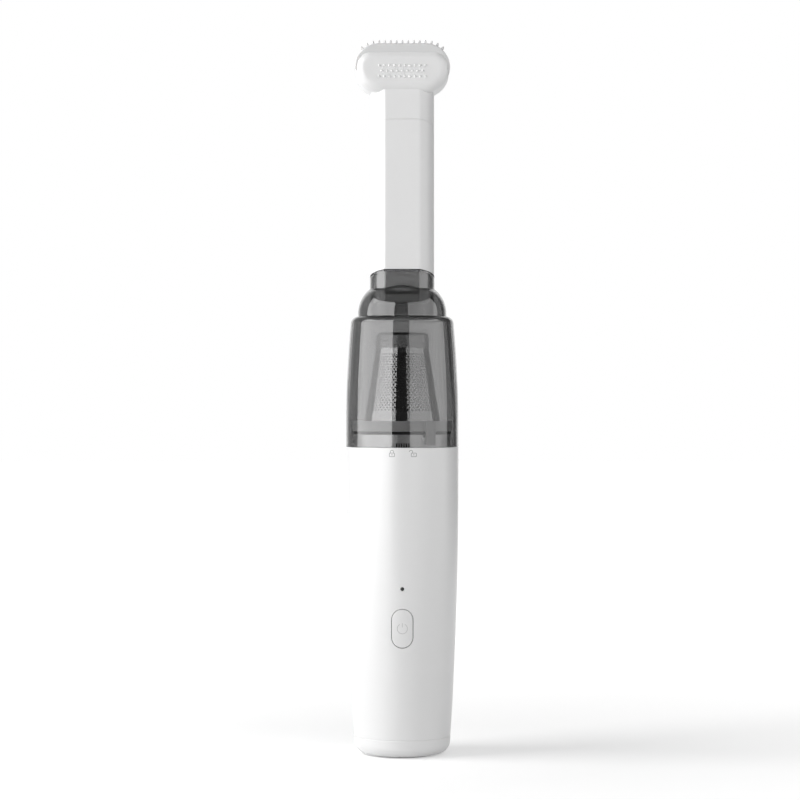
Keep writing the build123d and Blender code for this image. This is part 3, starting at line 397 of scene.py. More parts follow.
def new_finish(name):
    """Material kept by its name: its node tree, Principled shader and object coordinates."""
    material = bpy.data.materials.new(name)
    material.use_nodes = True
    finish[name] = material
    tree = material.node_tree
    place = tree.nodes.new("ShaderNodeTexCoord").outputs["Object"]
    return tree, tree.nodes["Principled BSDF"], place


def use_effect(tree, effect, place, **values):
    """Outputs of an effect group placed in a material, with its inputs fed by name."""
    node = tree.nodes.new("ShaderNodeGroup")
    node.node_tree = effect
    feed(tree, node, Place=place, **values)
    return node.outputs


def grey(value):
    """Neutral colour."""
    return (value, value, value, 1.0)


def bumped(tree, height, distance, strength=0.5):
    """Normals with surface relief from a height socket."""
    bump = new_node(tree, "ShaderNodeBump", Distance=distance, Strength=strength, Height=height)
    return bump.outputs["Normal"]


def moulded(name, colour, roughness, relief=0.004, metallic=0.0, coat=0.0, subsurface=0.0):
    """Moulded plastic, rubber or paint."""
    tree, shader, place = new_finish(name)
    skin = use_effect(
        tree, moulded_skin, place, Color=colour, Cloudiness=skin_cloudiness,
        Roughness=roughness, Handling=skin_handling, Grain_Scale=skin_grain,
    )
    feed(
        tree, shader, Base_Color=skin["Color"], Roughness=skin["Roughness"], Metallic=metallic,
        Coat_Weight=coat, IOR=plastic_ior, Subsurface_Weight=subsurface,
        Subsurface_Radius=(1.5 * mm, 1.4 * mm, 1.3 * mm), Subsurface_Scale=1.0,
        Normal=bumped(tree, skin["Height"], relief * mm),
    )


def clear(name, tint):
    """Clear moulded plastic with a smoky tint. Lamps shine through it."""
    tree, shader, place = new_finish(name)
    marks = use_effect(tree, smudges, place, Clean=0.004, Smudged=0.02, Cover=0.56)
    feed(
        tree, shader, Base_Color=grey(tint), Roughness=marks["Roughness"],
        Transmission_Weight=1.0, IOR=clear_ior,
    )
    see_through = new_node(tree, "ShaderNodeBsdfTransparent", Color=grey(math.sqrt(tint)))
    rays = tree.nodes.new("ShaderNodeLightPath").outputs
    mix = new_node(tree, "ShaderNodeMixShader", Fac=rays["Is Shadow Ray"])
    tree.links.new(shader.outputs["BSDF"], mix.inputs[1])
    tree.links.new(see_through.outputs["BSDF"], mix.inputs[2])
    tree.links.new(mix.outputs["Shader"], tree.nodes["Material Output"].inputs["Surface"])


def metal(name, colour, clean=0.12, smudged=0.22, grain=1800.0):
    """Bare metal with a fine drawn grain."""
    tree, shader, place = new_finish(name)
    marks = use_effect(tree, smudges, place, Clean=clean, Smudged=smudged, Cover=0.52)
    worn = tuple(0.85 * c for c in colour[:3]) + (1.0,)
    streaks = new_node(tree, "ShaderNodeMapping", Scale=(0.08, 0.08, 1.0), Vector=place)
    drawn_grain = noise(tree, streaks.outputs["Vector"], grain, 2.0)
    feed(
        tree, shader, Base_Color=tint_mix(tree, marks["Mask"], colour, worn),
        Roughness=marks["Roughness"], Metallic=1.0,
        Normal=bumped(tree, drawn_grain, 0.001 * mm),
    )


def cellular(name, light, dark, scale, relief, drawn=(1, 1, 1)):
    """Foam or fibrous paper."""
    tree, shader, place = new_finish(name)
    drawn_place = new_node(tree, "ShaderNodeMapping", Scale=drawn, Vector=place)
    body = use_effect(
        tree, cells, drawn_place.outputs["Vector"], Scale=scale, Light=light, Dark=dark,
    )
    feed(
        tree, shader, Base_Color=body["Color"], Roughness=0.9,
        Normal=bumped(tree, body["Height"], relief * mm, 0.8),
    )


moulded("white_shell", grey(0.80), 0.28)
moulded("white_tube", grey(0.80), 0.36)
moulded("white_head", grey(0.80), 0.36)
moulded("button_white", grey(0.78), 0.38)
moulded("neck_plastic", grey(0.86), 0.30, metallic=0.72)
clear("smoke_clear", 0.36)
clear("smoke_cap", 0.70)
# Lighter copy of the cup's smoky tint for the inner duct: painted light, so that what lies inside
# shows brighter through it
clear("smoke_painted_lighter", 0.66)
moulded("filter_clear", grey(0.62), 0.32)
metal("filter_steel", grey(0.56), clean=0.04, smudged=0.09)
cellular("filter_paper", grey(0.06), grey(0.03), 2600.0, 0.03, drawn=(1, 1, 0.3))
moulded("seal_rubber", grey(0.012), 0.55, relief=0.010)
moulded("foot_rubber", grey(0.30), 0.60, relief=0.010)
moulded("mount_rubber", grey(0.02), 0.60, relief=0.010)
moulded("pad_silicone", grey(0.69), 0.46, relief=0.006, subsurface=0.25)
moulded("frame_plastic", grey(0.16), 0.50, relief=0.008)
moulded("impeller_plastic", grey(0.05), 0.35)
moulded("switch_body", grey(0.03), 0.40)
moulded("light_pipe", grey(0.004), 0.12, coat=0.5)
moulded("cell_sleeve", (0.03, 0.16, 0.24, 1.0), 0.28)
metal("nickel_strip", (0.62, 0.58, 0.52, 1.0))
moulded("circuit_board", (0.012, 0.10, 0.045, 1.0), 0.30, coat=0.3)
moulded("board_parts", grey(0.03), 0.38)
metal("socket_steel", grey(0.60))
metal("screw_steel", (0.50, 0.49, 0.47, 1.0))
metal("motor_steel", grey(0.55), grain=900.0)
moulded("lead_sleeve", (0.35, 0.012, 0.010, 1.0), 0.40)
cellular("exhaust_foam", grey(0.10), grey(0.015), 1300.0, 0.25)
moulded("mark_ink", grey(0.30), 0.50)
moulded("faint_ink", grey(0.56), 0.45)


# Shapes

def rounded(corners, closed=True, steps=4):
    """Outline through (x, y, radius) corners, each rounded by its radius."""
    outline = []
    last = len(corners) - 1
    for i, (x, y, radius) in enumerate(corners):
        here = Vector((x, y))
        if radius <= 0 or (not closed and i in (0, last)):
            outline.append(here)
            continue
        before = (Vector(corners[i - 1][:2]) - here).normalized()
        after = (Vector(corners[(i + 1) % (last + 1)][:2]) - here).normalized()
        half = before.angle(after) / 2
        centre = here + (before + after).normalized() * (radius / math.sin(half))
        start = here + before * (radius / math.tan(half)) - centre
        end = here + after * (radius / math.tan(half)) - centre
        turn = math.atan2(start.x * end.y - start.y * end.x, start.dot(end))
        for k in range(steps + 1):
            outline.append(centre + Matrix.Rotation(turn * k / steps, 2) @ start)
    return outline


def box_outline(left, right, low, high, radius, steps=4):
    """Outline of a box with rounded corners."""
    corners = ((left, low), (right, low), (right, high), (left, high))
    return rounded([(x, y, radius) for x, y in corners], steps=steps)


def arc(x, y, radius, start_deg, end_deg, steps=12):
    """Points along an arc about (x, y), ends included."""
    points = []
    for k in range(steps + 1):
        angle = math.radians(start_deg + (end_deg - start_deg) * k / steps)
        points.append(Vector((x + radius * math.cos(angle), y + radius * math.sin(angle))))
    return points


def lifted(outline, height):
    """Outline moved up by a height."""
    return [Vector((p.x, p.y + height)) for p in outline]


def add_face(bm, outline, y=0.0):
    """Adds an upright face with an outline of (x, z) points."""
    return bm.faces.new([bm.verts.new((x, y, z)) for x, z in outline])


def verts_of(geom):
    """Vertices among the results of an operation."""
    return [v for v in geom if isinstance(v, bmesh.types.BMVert)]


def everything(bm):
    return bm.verts[:] + bm.edges[:] + bm.faces[:]


def open_edges(bm):
    return [e for e in bm.edges if e.is_boundary]


def turn_outwards(bm):
    """Turns all faces outwards."""
    bmesh.ops.recalc_face_normals(bm, faces=bm.faces)


def close_up(bm):
    """Fills what is open and turns all faces outwards."""
    bmesh.ops.holes_fill(bm, edges=open_edges(bm))
    turn_outwards(bm)


def spun(profile, closed=True, steps=spin_steps):
    """Solid or ring from a half profile of (radius, height) points turned about Z."""
    bm = bmesh.new()
    verts = [bm.verts.new((r, 0, z)) for r, z in profile]
    edges = [bm.edges.new(pair) for pair in zip(verts, verts[1:])]
    if closed:
        edges.append(bm.edges.new((verts[-1], verts[0])))
    bmesh.ops.spin(
        bm, geom=verts + edges, cent=(0, 0, 0), axis=(0, 0, 1), dvec=(0, 0, 0),
        angle=math.tau, steps=steps, use_merge=True, use_duplicate=False,
    )
    bmesh.ops.remove_doubles(bm, verts=bm.verts, dist=weld)
    bmesh.ops.dissolve_degenerate(bm, dist=weld, edges=bm.edges)
    turn_outwards(bm)
    return bm


def add_bar(bm, outline, near, far, turn_deg=0.0):
    """Adds a closed bar: an outline in the XZ plane drawn out along Y, then turned about Z."""
    face = add_face(bm, outline, near)
    first = list(face.verts)
    second = verts_of(bmesh.ops.extrude_face_region(bm, geom=[face])["geom"])
    bmesh.ops.translate(bm, verts=second, vec=(0, far - near, 0))
    bmesh.ops.rotate(bm, verts=first + second, cent=(0, 0, 0),
                     matrix=Matrix.Rotation(math.radians(turn_deg), 3, "Z"))
    turn_outwards(bm)


def post(outline, bottom, top):
    """Closed post: an outline in the XY plane between two heights, which may follow y."""
    bm = bmesh.new()
    face = bm.faces.new([bm.verts.new((x, y, 0)) for x, y in outline])
    low = list(face.verts)
    high = verts_of(bmesh.ops.extrude_face_region(bm, geom=[face])["geom"])
    for verts, height in ((low, bottom), (high, top)):
        for v in verts:
            v.co.z = height(v.co.y) if callable(height) else height
    turn_outwards(bm)
    return bm


def mesh_of(bm, name):
    """Mesh from a shape, which is used up."""
    mesh = bpy.data.meshes.new(name)
    bm.to_mesh(mesh)
    bm.free()
    return mesh


def placed(name, data):
    """Object in the scene that holds a mesh, a lamp or a camera."""
    holder = bpy.data.objects.new(name, data)
    scene.collection.objects.link(holder)
    return holder


def combine(first, second, operation):
    """Boolean of two closed shapes. Both are used up, and a new shape comes back."""
    holders = [placed("shape", mesh_of(bm, "shape")) for bm in (first, second)]
    modifier = holders[0].modifiers.new("combine", "BOOLEAN")
    modifier.operation = operation
    modifier.object = holders[1]
    modifier.solver = "EXACT"
    graph = bpy.context.evaluated_depsgraph_get()
    result = bmesh.new()
    result.from_mesh(holders[0].evaluated_get(graph).to_mesh())
    for holder in holders:
        mesh = holder.data
        bpy.data.objects.remove(holder)
        bpy.data.meshes.remove(mesh)
    bmesh.ops.remove_doubles(result, verts=result.verts, dist=weld)
    return result


def bevel(bm, edges, width, segments):
    """Rounds edges of a shape."""
    bmesh.ops.bevel(
        bm, geom=edges, offset=width, offset_type="OFFSET", segments=segments, profile=0.5,
        affect="EDGES", clamp_overlap=True, material=-1,
    )


def make_piece(bm, name, body, slot, replaces=(), finish_name=None, sharp_deg=32.0, edge=0.0):
    """Turns a shape into a piece that rides on a body. An edge is the rounding of its edges."""
    mesh = mesh_of(bm, name)
    mesh.materials.append(finish[finish_name or slot])
    mesh.polygons.foreach_set("use_smooth", [True] * len(mesh.polygons))
    mesh.set_sharp_from_angle(angle=math.radians(sharp_deg))
    piece = placed(name, mesh)
    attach(piece, body)
    if replaces:
        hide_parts(*replaces)
    if edge:
        rounding = piece.modifiers.new("edges", "BEVEL")
        rounding.width = edge
        rounding.segments = 2
        rounding.limit_method = "ANGLE"
        rounding.angle_limit = edge_turn
    # Keeps large faces flat in the light, so that only their rounded edges turn it
    piece.modifiers.new("shading", "WEIGHTED_NORMAL").keep_sharp = True


def pill(half_width, half_length, steps=16):
    """Upright pill outline about the origin."""
    reach = half_length - half_width
    return arc(0, reach, half_width, 0, 180, steps) + arc(0, -reach, half_width, 180, 360, steps)


def flat_sided(radius, flat, corner=0.0, steps=24):
    """Round outline with a flat at the front and at the back, corners rounded."""
    middle = math.sqrt((radius - corner) ** 2 - (flat - corner) ** 2)
    lean = math.degrees(math.atan2(middle, flat - corner))
    quarter = []
    if corner > 0:
        quarter += arc(middle, flat - corner, corner, 90, 90 - lean, 6)
    side = arc(0, 0, radius, 90 - lean, lean - 90, steps)
    quarter += side[1:] if corner > 0 else side
    if corner > 0:
        quarter += arc(middle, corner - flat, corner, lean - 90, -90, 6)[1:]
    other = [Vector((-p.x, p.y)) for p in reversed(quarter)]
    return quarter + other


def slanted(front_z):
    """Height along y of a slanted joint that meets the duct's front flat at front_z."""
    return lambda y: front_z - rim_slope * (y + duct_flat)


# Long curve of the handle
widest_z = joint_z - upright_height
side_rise = widest_z - seam_z
side_gain = body_radius - base_radius
side_bow = (side_rise ** 2 + side_gain ** 2) / (2 * side_gain)


def side_radius(z):
    """Outer radius of the handle at a height."""
    below = max(widest_z - z, 0.0)
    return body_radius - side_bow + math.sqrt(side_bow ** 2 - below ** 2)


def lay_on_handle(bm):
    """Wraps a flat shape, drawn in XZ with y as its height, on the handle's front."""
    for v in bm.verts:
        v.co.y = -math.sqrt(side_radius(v.co.z) ** 2 - v.co.x ** 2) - v.co.y


def make_handle_shell():
    rows = 36
    heights = [seam_z + (joint_z - seam_z) * i / rows for i in range(rows + 1)]
    outer = [(side_radius(z), z, 0) for z in heights]
    inner = [(side_radius(z) - shell_wall, z, 0) for z in reversed(heights)]
    for end in (0, -1):
        outer[end] = (*outer[end][:2], rim_rounding)
    shell = spun(rounded(outer + inner))
    openings = bmesh.new()
    button_hole = pill(button_width / 2 + button_gap, button_length / 2 + button_gap)
    add_bar(openings, lifted(button_hole, button_z), *front_cut)
    add_bar(openings, arc(0, light_z, light_radius + light_gap, 0, 345, 23), *front_cut)
    socket_z = (socket_low.z + socket_high.z) / 2
    half_width = (socket_high.x - socket_low.x) / 2 + slip_gap
    half_height = (socket_high.z - socket_low.z) / 2 + slip_gap
    add_bar(openings, [(p.y, p.x + socket_z) for p in pill(half_height, half_width)], *back_cut)
    for i in range(vent_count):
        turn = (i - (vent_count - 1) / 2) * vent_pitch_deg
        add_bar(openings, lifted(pill(vent_width / 2, vent_length / 2), vent_z), *back_cut, turn)
    shell = combine(shell, openings, "DIFFERENCE")
    make_piece(shell, "handle_shell", "handle", "white_shell", ["body_shell"])


def make_base():
    inside = base_radius - base_wall
    corners = [
        (0, base_lift, 0),
        (foot_inner_radius, base_lift, recess_edge),
        (foot_inner_radius, foot_recess, 0),
        (foot_outer_radius, foot_recess, 0),
        (foot_outer_radius, base_lift, recess_edge),
        (base_radius - base_draft, base_lift, base_corner),
        (base_radius, seam_z, rim_rounding),
        (inside, seam_z, 0),
        (inside, base_top_z, base_lip_edge),
        (inside - base_lip_wall, base_top_z, base_lip_edge),
        (inside - base_lip_wall, base_lift + base_wall, 0),
        (0, base_lift + base_wall, 0),
    ]
    make_piece(spun(rounded(corners, closed=False, steps=8), closed=False),
               "base_shell", "handle", "white_shell", ["base_cap"])
    low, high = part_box("foot_ring")
    foot = [
        (foot_bore, low.z, foot_edge),
        (high.x, low.z, foot_edge),
        (high.x, high.z, 0),
        (foot_bore, high.z, 0),
    ]
    make_piece(spun(rounded(foot)), "soft_foot", "handle", "foot_rubber", ["foot_ring"])


def inset(bm, face, width):
    """Frames a face with a strip of a width inside its edge."""
    bmesh.ops.inset_region(
        bm, faces=[face], thickness=width, use_boundary=True, use_even_offset=True,
    )


def make_button():
    """Pill that follows the handle's curve, with a rounded edge and a hidden skirt."""
    bm = bmesh.new()
    face = add_face(bm, lifted(pill(button_width / 2, button_length / 2, 20), button_z))
    face.normal_update()
    steps = 5
    for k in range(steps):
        start = math.radians(90 * k / steps)
        end = math.radians(90 * (k + 1) / steps)
        run = button_edge * (math.cos(start) - math.cos(end))
        rise = button_edge * (math.sin(end) - math.sin(start))
        inset(bm, face, run)
        for v in face.verts:
            v.co.y += rise
    for _ in range(button_rings):
        inset(bm, face, button_ring)
    for v in bm.verts:
        v.co.y -= button_edge
    for v in verts_of(bmesh.ops.extrude_edge_only(bm, edges=open_edges(bm))["geom"]):
        v.co.y -= button_skirt
    lay_on_handle(bm)
    close_up(bm)
    make_piece(bm, "button_face", "button", "button_white", ["power_button"])


def make_status_light():
    corners = [
        (0, 0, 0),
        (light_radius, 0, 0),
        (light_radius, light_flat, light_edge),
        (0, light_length, 0),
    ]
    lens = spun(rounded(corners, closed=False), closed=False, steps=24)
    to_front = Matrix.Rotation(math.pi / 2, 3, "X")
    bmesh.ops.rotate(lens, verts=lens.verts, cent=(0, 0, 0), matrix=to_front)
    root = light_length - light_sunk - side_radius(light_z)
    bmesh.ops.translate(lens, verts=lens.verts, vec=(0, root, light_z))
    make_piece(lens, "status_light", "handle", "light_pipe", ["light_pipe"])


def dense(outline):
    """Outline with points added, so that no side is long enough to cut into a curved face."""
    points = []
    for start, end in zip(outline, outline[1:] + outline[:1]):
        parts = max(1, math.ceil((end - start).length / mark_step))
        points += [start.lerp(end, k / parts) for k in range(parts)]
    return points


def add_stroke(bm, outline, width):
    """Adds a closed line of a width that runs inside an outline."""
    face = add_face(bm, dense(outline))
    face.normal_update()
    inset(bm, face, width)
    bmesh.ops.delete(bm, geom=[face], context="FACES_ONLY")


def print_mark(bm, name, body, slot, ink):
    """Gives a flat mark the thickness of a printed line and lays it on the handle."""
    grown = verts_of(bmesh.ops.extrude_face_region(bm, geom=list(bm.faces))["geom"])
    for v in bm.verts:
        v.co.y = -mark_sunk
    for v in grown:
        v.co.y = mark_proud
    lay_on_handle(bm)
    turn_outwards(bm)
    make_piece(bm, name, body, slot, finish_name=ink)


def make_lock_mark(name, x, is_open):
    """Small padlock drawn in a thin line."""
    top_z = lock_z + lock_height
    bm = bmesh.new()
    lock = box_outline(x - lock_half_width, x + lock_half_width, lock_z, top_z, lock_corner)
    add_stroke(bm, lock, lock_line)
    add_face(bm, arc(x, lock_z + lock_height / 2, keyhole_radius, 0, 330, 11))
    middle = x - (shackle_shift if is_open else 0.0)
    bend_z = top_z + shackle_leg
    left_z = bend_z if is_open else top_z
    inner_radius = shackle_radius - lock_line
    shackle = (
        [Vector((middle + shackle_radius, top_z))]
        + arc(middle, bend_z, shackle_radius, 0, 180)
        + [Vector((middle - shackle_radius, left_z)), Vector((middle - inner_radius, left_z))]
        + arc(middle, bend_z, inner_radius, 180, 0)
        + [Vector((middle + inner_radius, top_z))]
    )
    add_face(bm, dense(shackle))
    print_mark(bm, name, "handle", "white_shell", "mark_ink")


def make_power_mark():
    """Broken ring and stroke on the button's face."""
    bm = bmesh.new()
    outer = arc(0, button_z, power_radius, 120, 420, 36)
    add_face(bm, outer + arc(0, button_z, power_radius - power_line, 420, 120, 36))
    bar = box_outline(-power_line / 2, power_line / 2, power_bar_low, power_bar_high, 0)
    add_face(bm, lifted(dense(bar), button_z))
    print_mark(bm, "power_mark", "button", "button_white", "faint_ink")


def make_neck_marks():
    """Row of small dark slots in the foot of the neck, behind the cup's skirt."""
    front_y = -(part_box("filter_seal")[1].x - neck_inset)
    bm = bmesh.new()
    for k in range(slot_count):
        x = (k - slot_shift) * slot_pitch
        outline = box_outline(
            x - slot_half_width, x + slot_half_width, joint_z + slot_low, joint_z + slot_high,
            slot_corner,
        )
        add_bar(bm, outline, front_y - slot_proud, front_y + slot_sunk)
    make_piece(bm, "neck_detents", "handle", "neck_plastic", finish_name="seal_rubber")


def cup_radius(z):
    """Outer radius of the cup below its shoulder."""
    curve = cup_shoulder_z - joint_z - cup_straight
    gain = body_radius - cup_top_radius
    bow = (curve ** 2 + gain ** 2) / (2 * gain)
    above = max(z - joint_z - cup_straight, 0.0)
    return body_radius - bow + math.sqrt(bow ** 2 - above ** 2)


def cup_wall_at(z, liner_wall):
    """Thickness of the cup's side, which grows smoothly from the skirt up to the liner."""
    share = min(max((z - liner_foot_z) / (liner_full_z - liner_foot_z), 0.0), 1.0)
    return cup_skirt_wall + (liner_wall - cup_skirt_wall) * share * share * (3 - 2 * share)


def cup_profile(wall, liner_wall, low_z):
    """Half outline of the cup, or of its hollow when walls are given, as a closed solid."""
    straight_z = joint_z + cup_straight
    shoulder = cup_shoulder - wall
    shoulder_z = cup_shoulder_z - wall
    arc_z = shoulder_z - shoulder
    profile = [Vector((0, low_z))]
    if wall > 0:
        profile.append(Vector((body_radius - cup_skirt_wall, low_z)))
    else:
        profile += rounded([
            (0, low_z, 0), (body_radius, low_z, rim_rounding), (body_radius, straight_z, 0),
        ], closed=False)[1:-1]
    rows = 24
    for i in range(rows + 1):
        z = straight_z + (arc_z - straight_z) * i / rows
        thickness = cup_wall_at(z, liner_wall) if wall > 0 else 0.0
        profile.append(Vector((cup_radius(z) - thickness, z)))
    top_radius = cup_radius(arc_z) - liner_wall
    profile += arc(top_radius - shoulder, arc_z, shoulder, 0, 90, 10)[1:]
    dome_centre = dome_foot_radius - dome_arc_radius
    foot = dome_foot_radius - wall
    if profile[-1].x > foot:
        profile.append(Vector((foot, shoulder_z)))
    profile += arc(dome_centre, dome_z, dome_arc_radius - wall, 0, 90, 24)
    profile.append(Vector((0, profile[-1].y)))
    return profile


def duct_bore():
    """Clear way through the collar and the duct."""
    outline = flat_sided(duct_radius - duct_wall, duct_flat - duct_wall)
    return post(outline, duct_bottom_z - past, rim_z + far_past)


def make_cup():
    cup = spun(cup_profile(0.0, 0.0, joint_z), closed=False)
    collar = post(flat_sided(duct_radius, duct_flat), dome_z + past, slanted(rim_z - rim_ring_height))
    cup = combine(cup, collar, "UNION")
    hollow = spun(cup_profile(cup_wall, cup_liner_wall, joint_z - past), closed=False)
    cup = combine(cup, hollow, "DIFFERENCE")
    cup = combine(cup, duct_bore(), "DIFFERENCE")
    make_piece(cup, "clear_cup", "cup", "smoke_clear", ["dust_cup"], sharp_deg=25.0)


def duct_ring(outside, low, high):
    """Ring with the duct's outline, set out by a small distance, between two heights."""
    ring = post(flat_sided(duct_radius + outside, duct_flat + outside), low, high)
    return combine(ring, duct_bore(), "DIFFERENCE")


def make_duct():
    """Thin duct that hangs inside the dome, in a lighter copy of the cup's tint that paints in
    light, and a dark ring on the collar's rim that is partly a seal and partly painted shade.
    """
    duct = duct_ring(-seal_gap, duct_bottom_z, dome_z + dome_arc_radius)
    inside = spun(cup_profile(cup_wall + duct_lap, cup_liner_wall, joint_z), closed=False)
    duct = combine(duct, inside, "INTERSECT")
    # The duct takes the lighter copy of the cup's tint, which paints in light seen through it
    make_piece(duct, "inner_duct", "cup", "smoke_clear", finish_name="smoke_painted_lighter", sharp_deg=25.0)
    # The dark ring is partly a seal and partly painted shade: it paints the dark line that the
    # clear rim's edge shows
    seal = duct_ring(0.0, slanted(rim_z - rim_ring_height + seal_gap), slanted(rim_z - seal_gap))
    make_piece(seal, "collar_edge", "cup", "smoke_clear", finish_name="seal_rubber")


def is_hole(face):
    """True for a small six-sided face about the size of a hole."""
    centre = face.calc_center_median()
    return all(abs((v.co - centre).length - hole_radius) < hole_slack for v in face.verts)


def make_filter_cone():
    """Steel cone with staggered holes between two plain bands."""
    rows = hole_rows + 1
    height = mesh_top_z - mesh_z
    bottom, top = first_hole_z, height - last_hole_z
    bm = bmesh.new()
    bmesh.ops.create_grid(bm, x_segments=holes_round, y_segments=rows, size=1.0)
    for v in bm.verts:
        column = round((v.co.x + 1) / 2 * holes_round)
        row = round((v.co.y + 1) / 2 * rows)
        v.co = Vector((column + 0.5 * (row % 2), row, 0))
    bmesh.ops.triangulate(bm, faces=bm.faces, quad_method="SHORT_EDGE")
    for v in bm.verts:
        turn = math.tau * v.co.x / holes_round
        row = round(v.co.y)
        z = bottom + (top - bottom) * row / rows
        radius = mesh_base_radius + (mesh_top_radius - mesh_base_radius) * z / height
        v.co = Vector((radius * math.cos(turn), radius * math.sin(turn), mesh_z + z))
    bmesh.ops.remove_doubles(bm, verts=bm.verts, dist=touch)
    half_row = (top - bottom) / rows / 2
    inner = [v for v in bm.verts if half_row < v.co.z - mesh_z - bottom < top - bottom - half_row]
    cut = bmesh.ops.bevel(
        bm, geom=inner, offset=hole_radius, offset_type="OFFSET", segments=1, profile=0.5,
        affect="VERTICES", clamp_overlap=False, material=-1,
    )
    holes = [f for f in cut["faces"] if len(f.verts) == 6 and is_hole(f)]
    bmesh.ops.delete(bm, geom=holes, context="FACES_ONLY")
    for rim_level, end_z, end_radius in (
        (mesh_z + bottom, mesh_z, mesh_base_radius), (mesh_z + top, mesh_top_z, mesh_top_radius),
    ):
        rim = [e for e in open_edges(bm) if all(abs(v.co.z - rim_level) < touch for v in e.verts)]
        for v in verts_of(bmesh.ops.extrude_edge_only(bm, edges=rim)["geom"]):
            flat = Vector((v.co.x, v.co.y)).normalized() * end_radius
            v.co = Vector((flat.x, flat.y, end_z))
    turn_outwards(bm)
    bmesh.ops.solidify(bm, geom=everything(bm), thickness=cone_sheet)
    make_piece(bm, "steel_cone", "filter", "filter_steel", ["filter_mesh"], sharp_deg=40.0)


def make_filter_cap():
    top = mesh_top_z + filter_cap_height
    inside = filter_cap_radius - filter_cap_wall
    corners = [
        (inside, mesh_top_z, 0),
        (filter_cap_radius, mesh_top_z, filter_cap_rim),
        (filter_cap_radius, top, filter_cap_edge),
        (0, top, 0),
        (0, top - filter_cap_wall, 0),
        (inside, top - filter_cap_wall, filter_cap_edge - filter_cap_wall),
    ]
    make_piece(spun(rounded(corners, steps=6)), "filter_lid", "filter", "smoke_cap", ["filter_cap"])


def make_tube():
    outer = flat_sided(tube_radius, tube_flat, tube_corner)
    tube = post(outer, slanted(rim_z), slanted(tube_top_z))
    bevel(tube, [e for e in tube.edges if e.calc_face_angle() > sharp_turn], tube_edge, 2)
    outside = duct_radius - duct_wall - slip_gap
    flat = duct_flat - duct_wall - slip_gap
    spigot_top_z = rim_z + spigot_lap
    tube = combine(tube, post(flat_sided(outside, flat), spigot_low_z, spigot_top_z), "UNION")
    inside = flat_sided(outside - spigot_wall, flat - spigot_wall)
    tube = combine(tube, post(inside, spigot_low_z - past, spigot_top_z), "DIFFERENCE")
    inside = flat_sided(tube_radius - tube_wall, tube_flat - tube_wall)
    bore = post(inside, spigot_top_z - bore_lap, tube_top_z + far_past)
    tube = combine(tube, bore, "DIFFERENCE")
    make_piece(tube, "white_tube", "tube", "white_tube", ["extension_tube"], sharp_deg=30.0)


def housing_outline():
    """Front outline of the brush housing."""
    bottom_z = head_z - head_end_radius
    belly = min(head_end_radius, housing_top_z - bottom_z - housing_corner - housing_side)
    return rounded([
        (-housing_half_width, housing_top_z, housing_corner),
        (-housing_half_width, bottom_z, belly),
        (housing_half_width, bottom_z, belly),
        (housing_half_width, housing_top_z, housing_corner),
    ], steps=16)


def neck_rim(neck):
    """Sharp edges round the slanted foot of the head's neck."""
    found = []
    for edge in neck.edges:
        middle = (edge.verts[0].co.z + edge.verts[1].co.z) / 2
        near_foot = -neck_foot_depth <= middle - tube_top_z <= neck_foot_rise
        if near_foot and edge.calc_face_angle() >= sharp_turn:
            found.append(edge)
    return found


def make_housing():
    body = bmesh.new()
    add_bar(body, housing_outline(), -head_half_depth, head_half_depth)
    ends = [e for e in body.edges if abs(e.verts[0].co.y - e.verts[1].co.y) < level]
    bevel(body, ends, head_edge, 8)
    neck = post(flat_sided(tube_radius, tube_flat, tube_corner), slanted(tube_top_z), head_z)
    bevel(neck, neck_rim(neck), tube_edge, 2)
    body = combine(body, neck, "UNION")
    bore_radius = tube_radius - tube_wall - slip_gap - spigot_wall
    bore_flat = tube_flat - tube_wall - slip_gap - spigot_wall
    outside = flat_sided(bore_radius + spigot_wall, bore_flat + spigot_wall)
    body = combine(body, post(outside, head_low_z, tube_top_z + spigot_lap), "UNION")
    bore = post(flat_sided(bore_radius, bore_flat), head_low_z - past, chamber_z + past)
    body = combine(body, bore, "DIFFERENCE")
    room = box_outline(-chamber_half_width, chamber_half_width,
                       -chamber_half_depth, chamber_half_depth, chamber_corner)
    body = combine(body, post(room, chamber_z, housing_top_z + far_past), "DIFFERENCE")
    make_piece(body, "brush_body", "head", "white_head", ["brush_housing"], sharp_deg=30.0)


def nub_places():
    """Feet of a row's nubs along the pad's top and round its ends, as (x, z, tilt)."""
    flat_half = pad_half_width - head_end_radius
    span = flat_half + head_end_radius * math.radians(nub_wrap_deg)
    count = math.floor(span / nub_pitch)
    places = []
    for i in range(-count, count + 1):
        along = i * nub_pitch
        turn = max(abs(along) - flat_half, 0.0) / head_end_radius
        way = math.copysign(1, along)
        reach = min(abs(along), flat_half) + head_end_radius * math.sin(turn)
        places.append((way * reach, head_z + head_end_radius * math.cos(turn), way * turn))
    return places


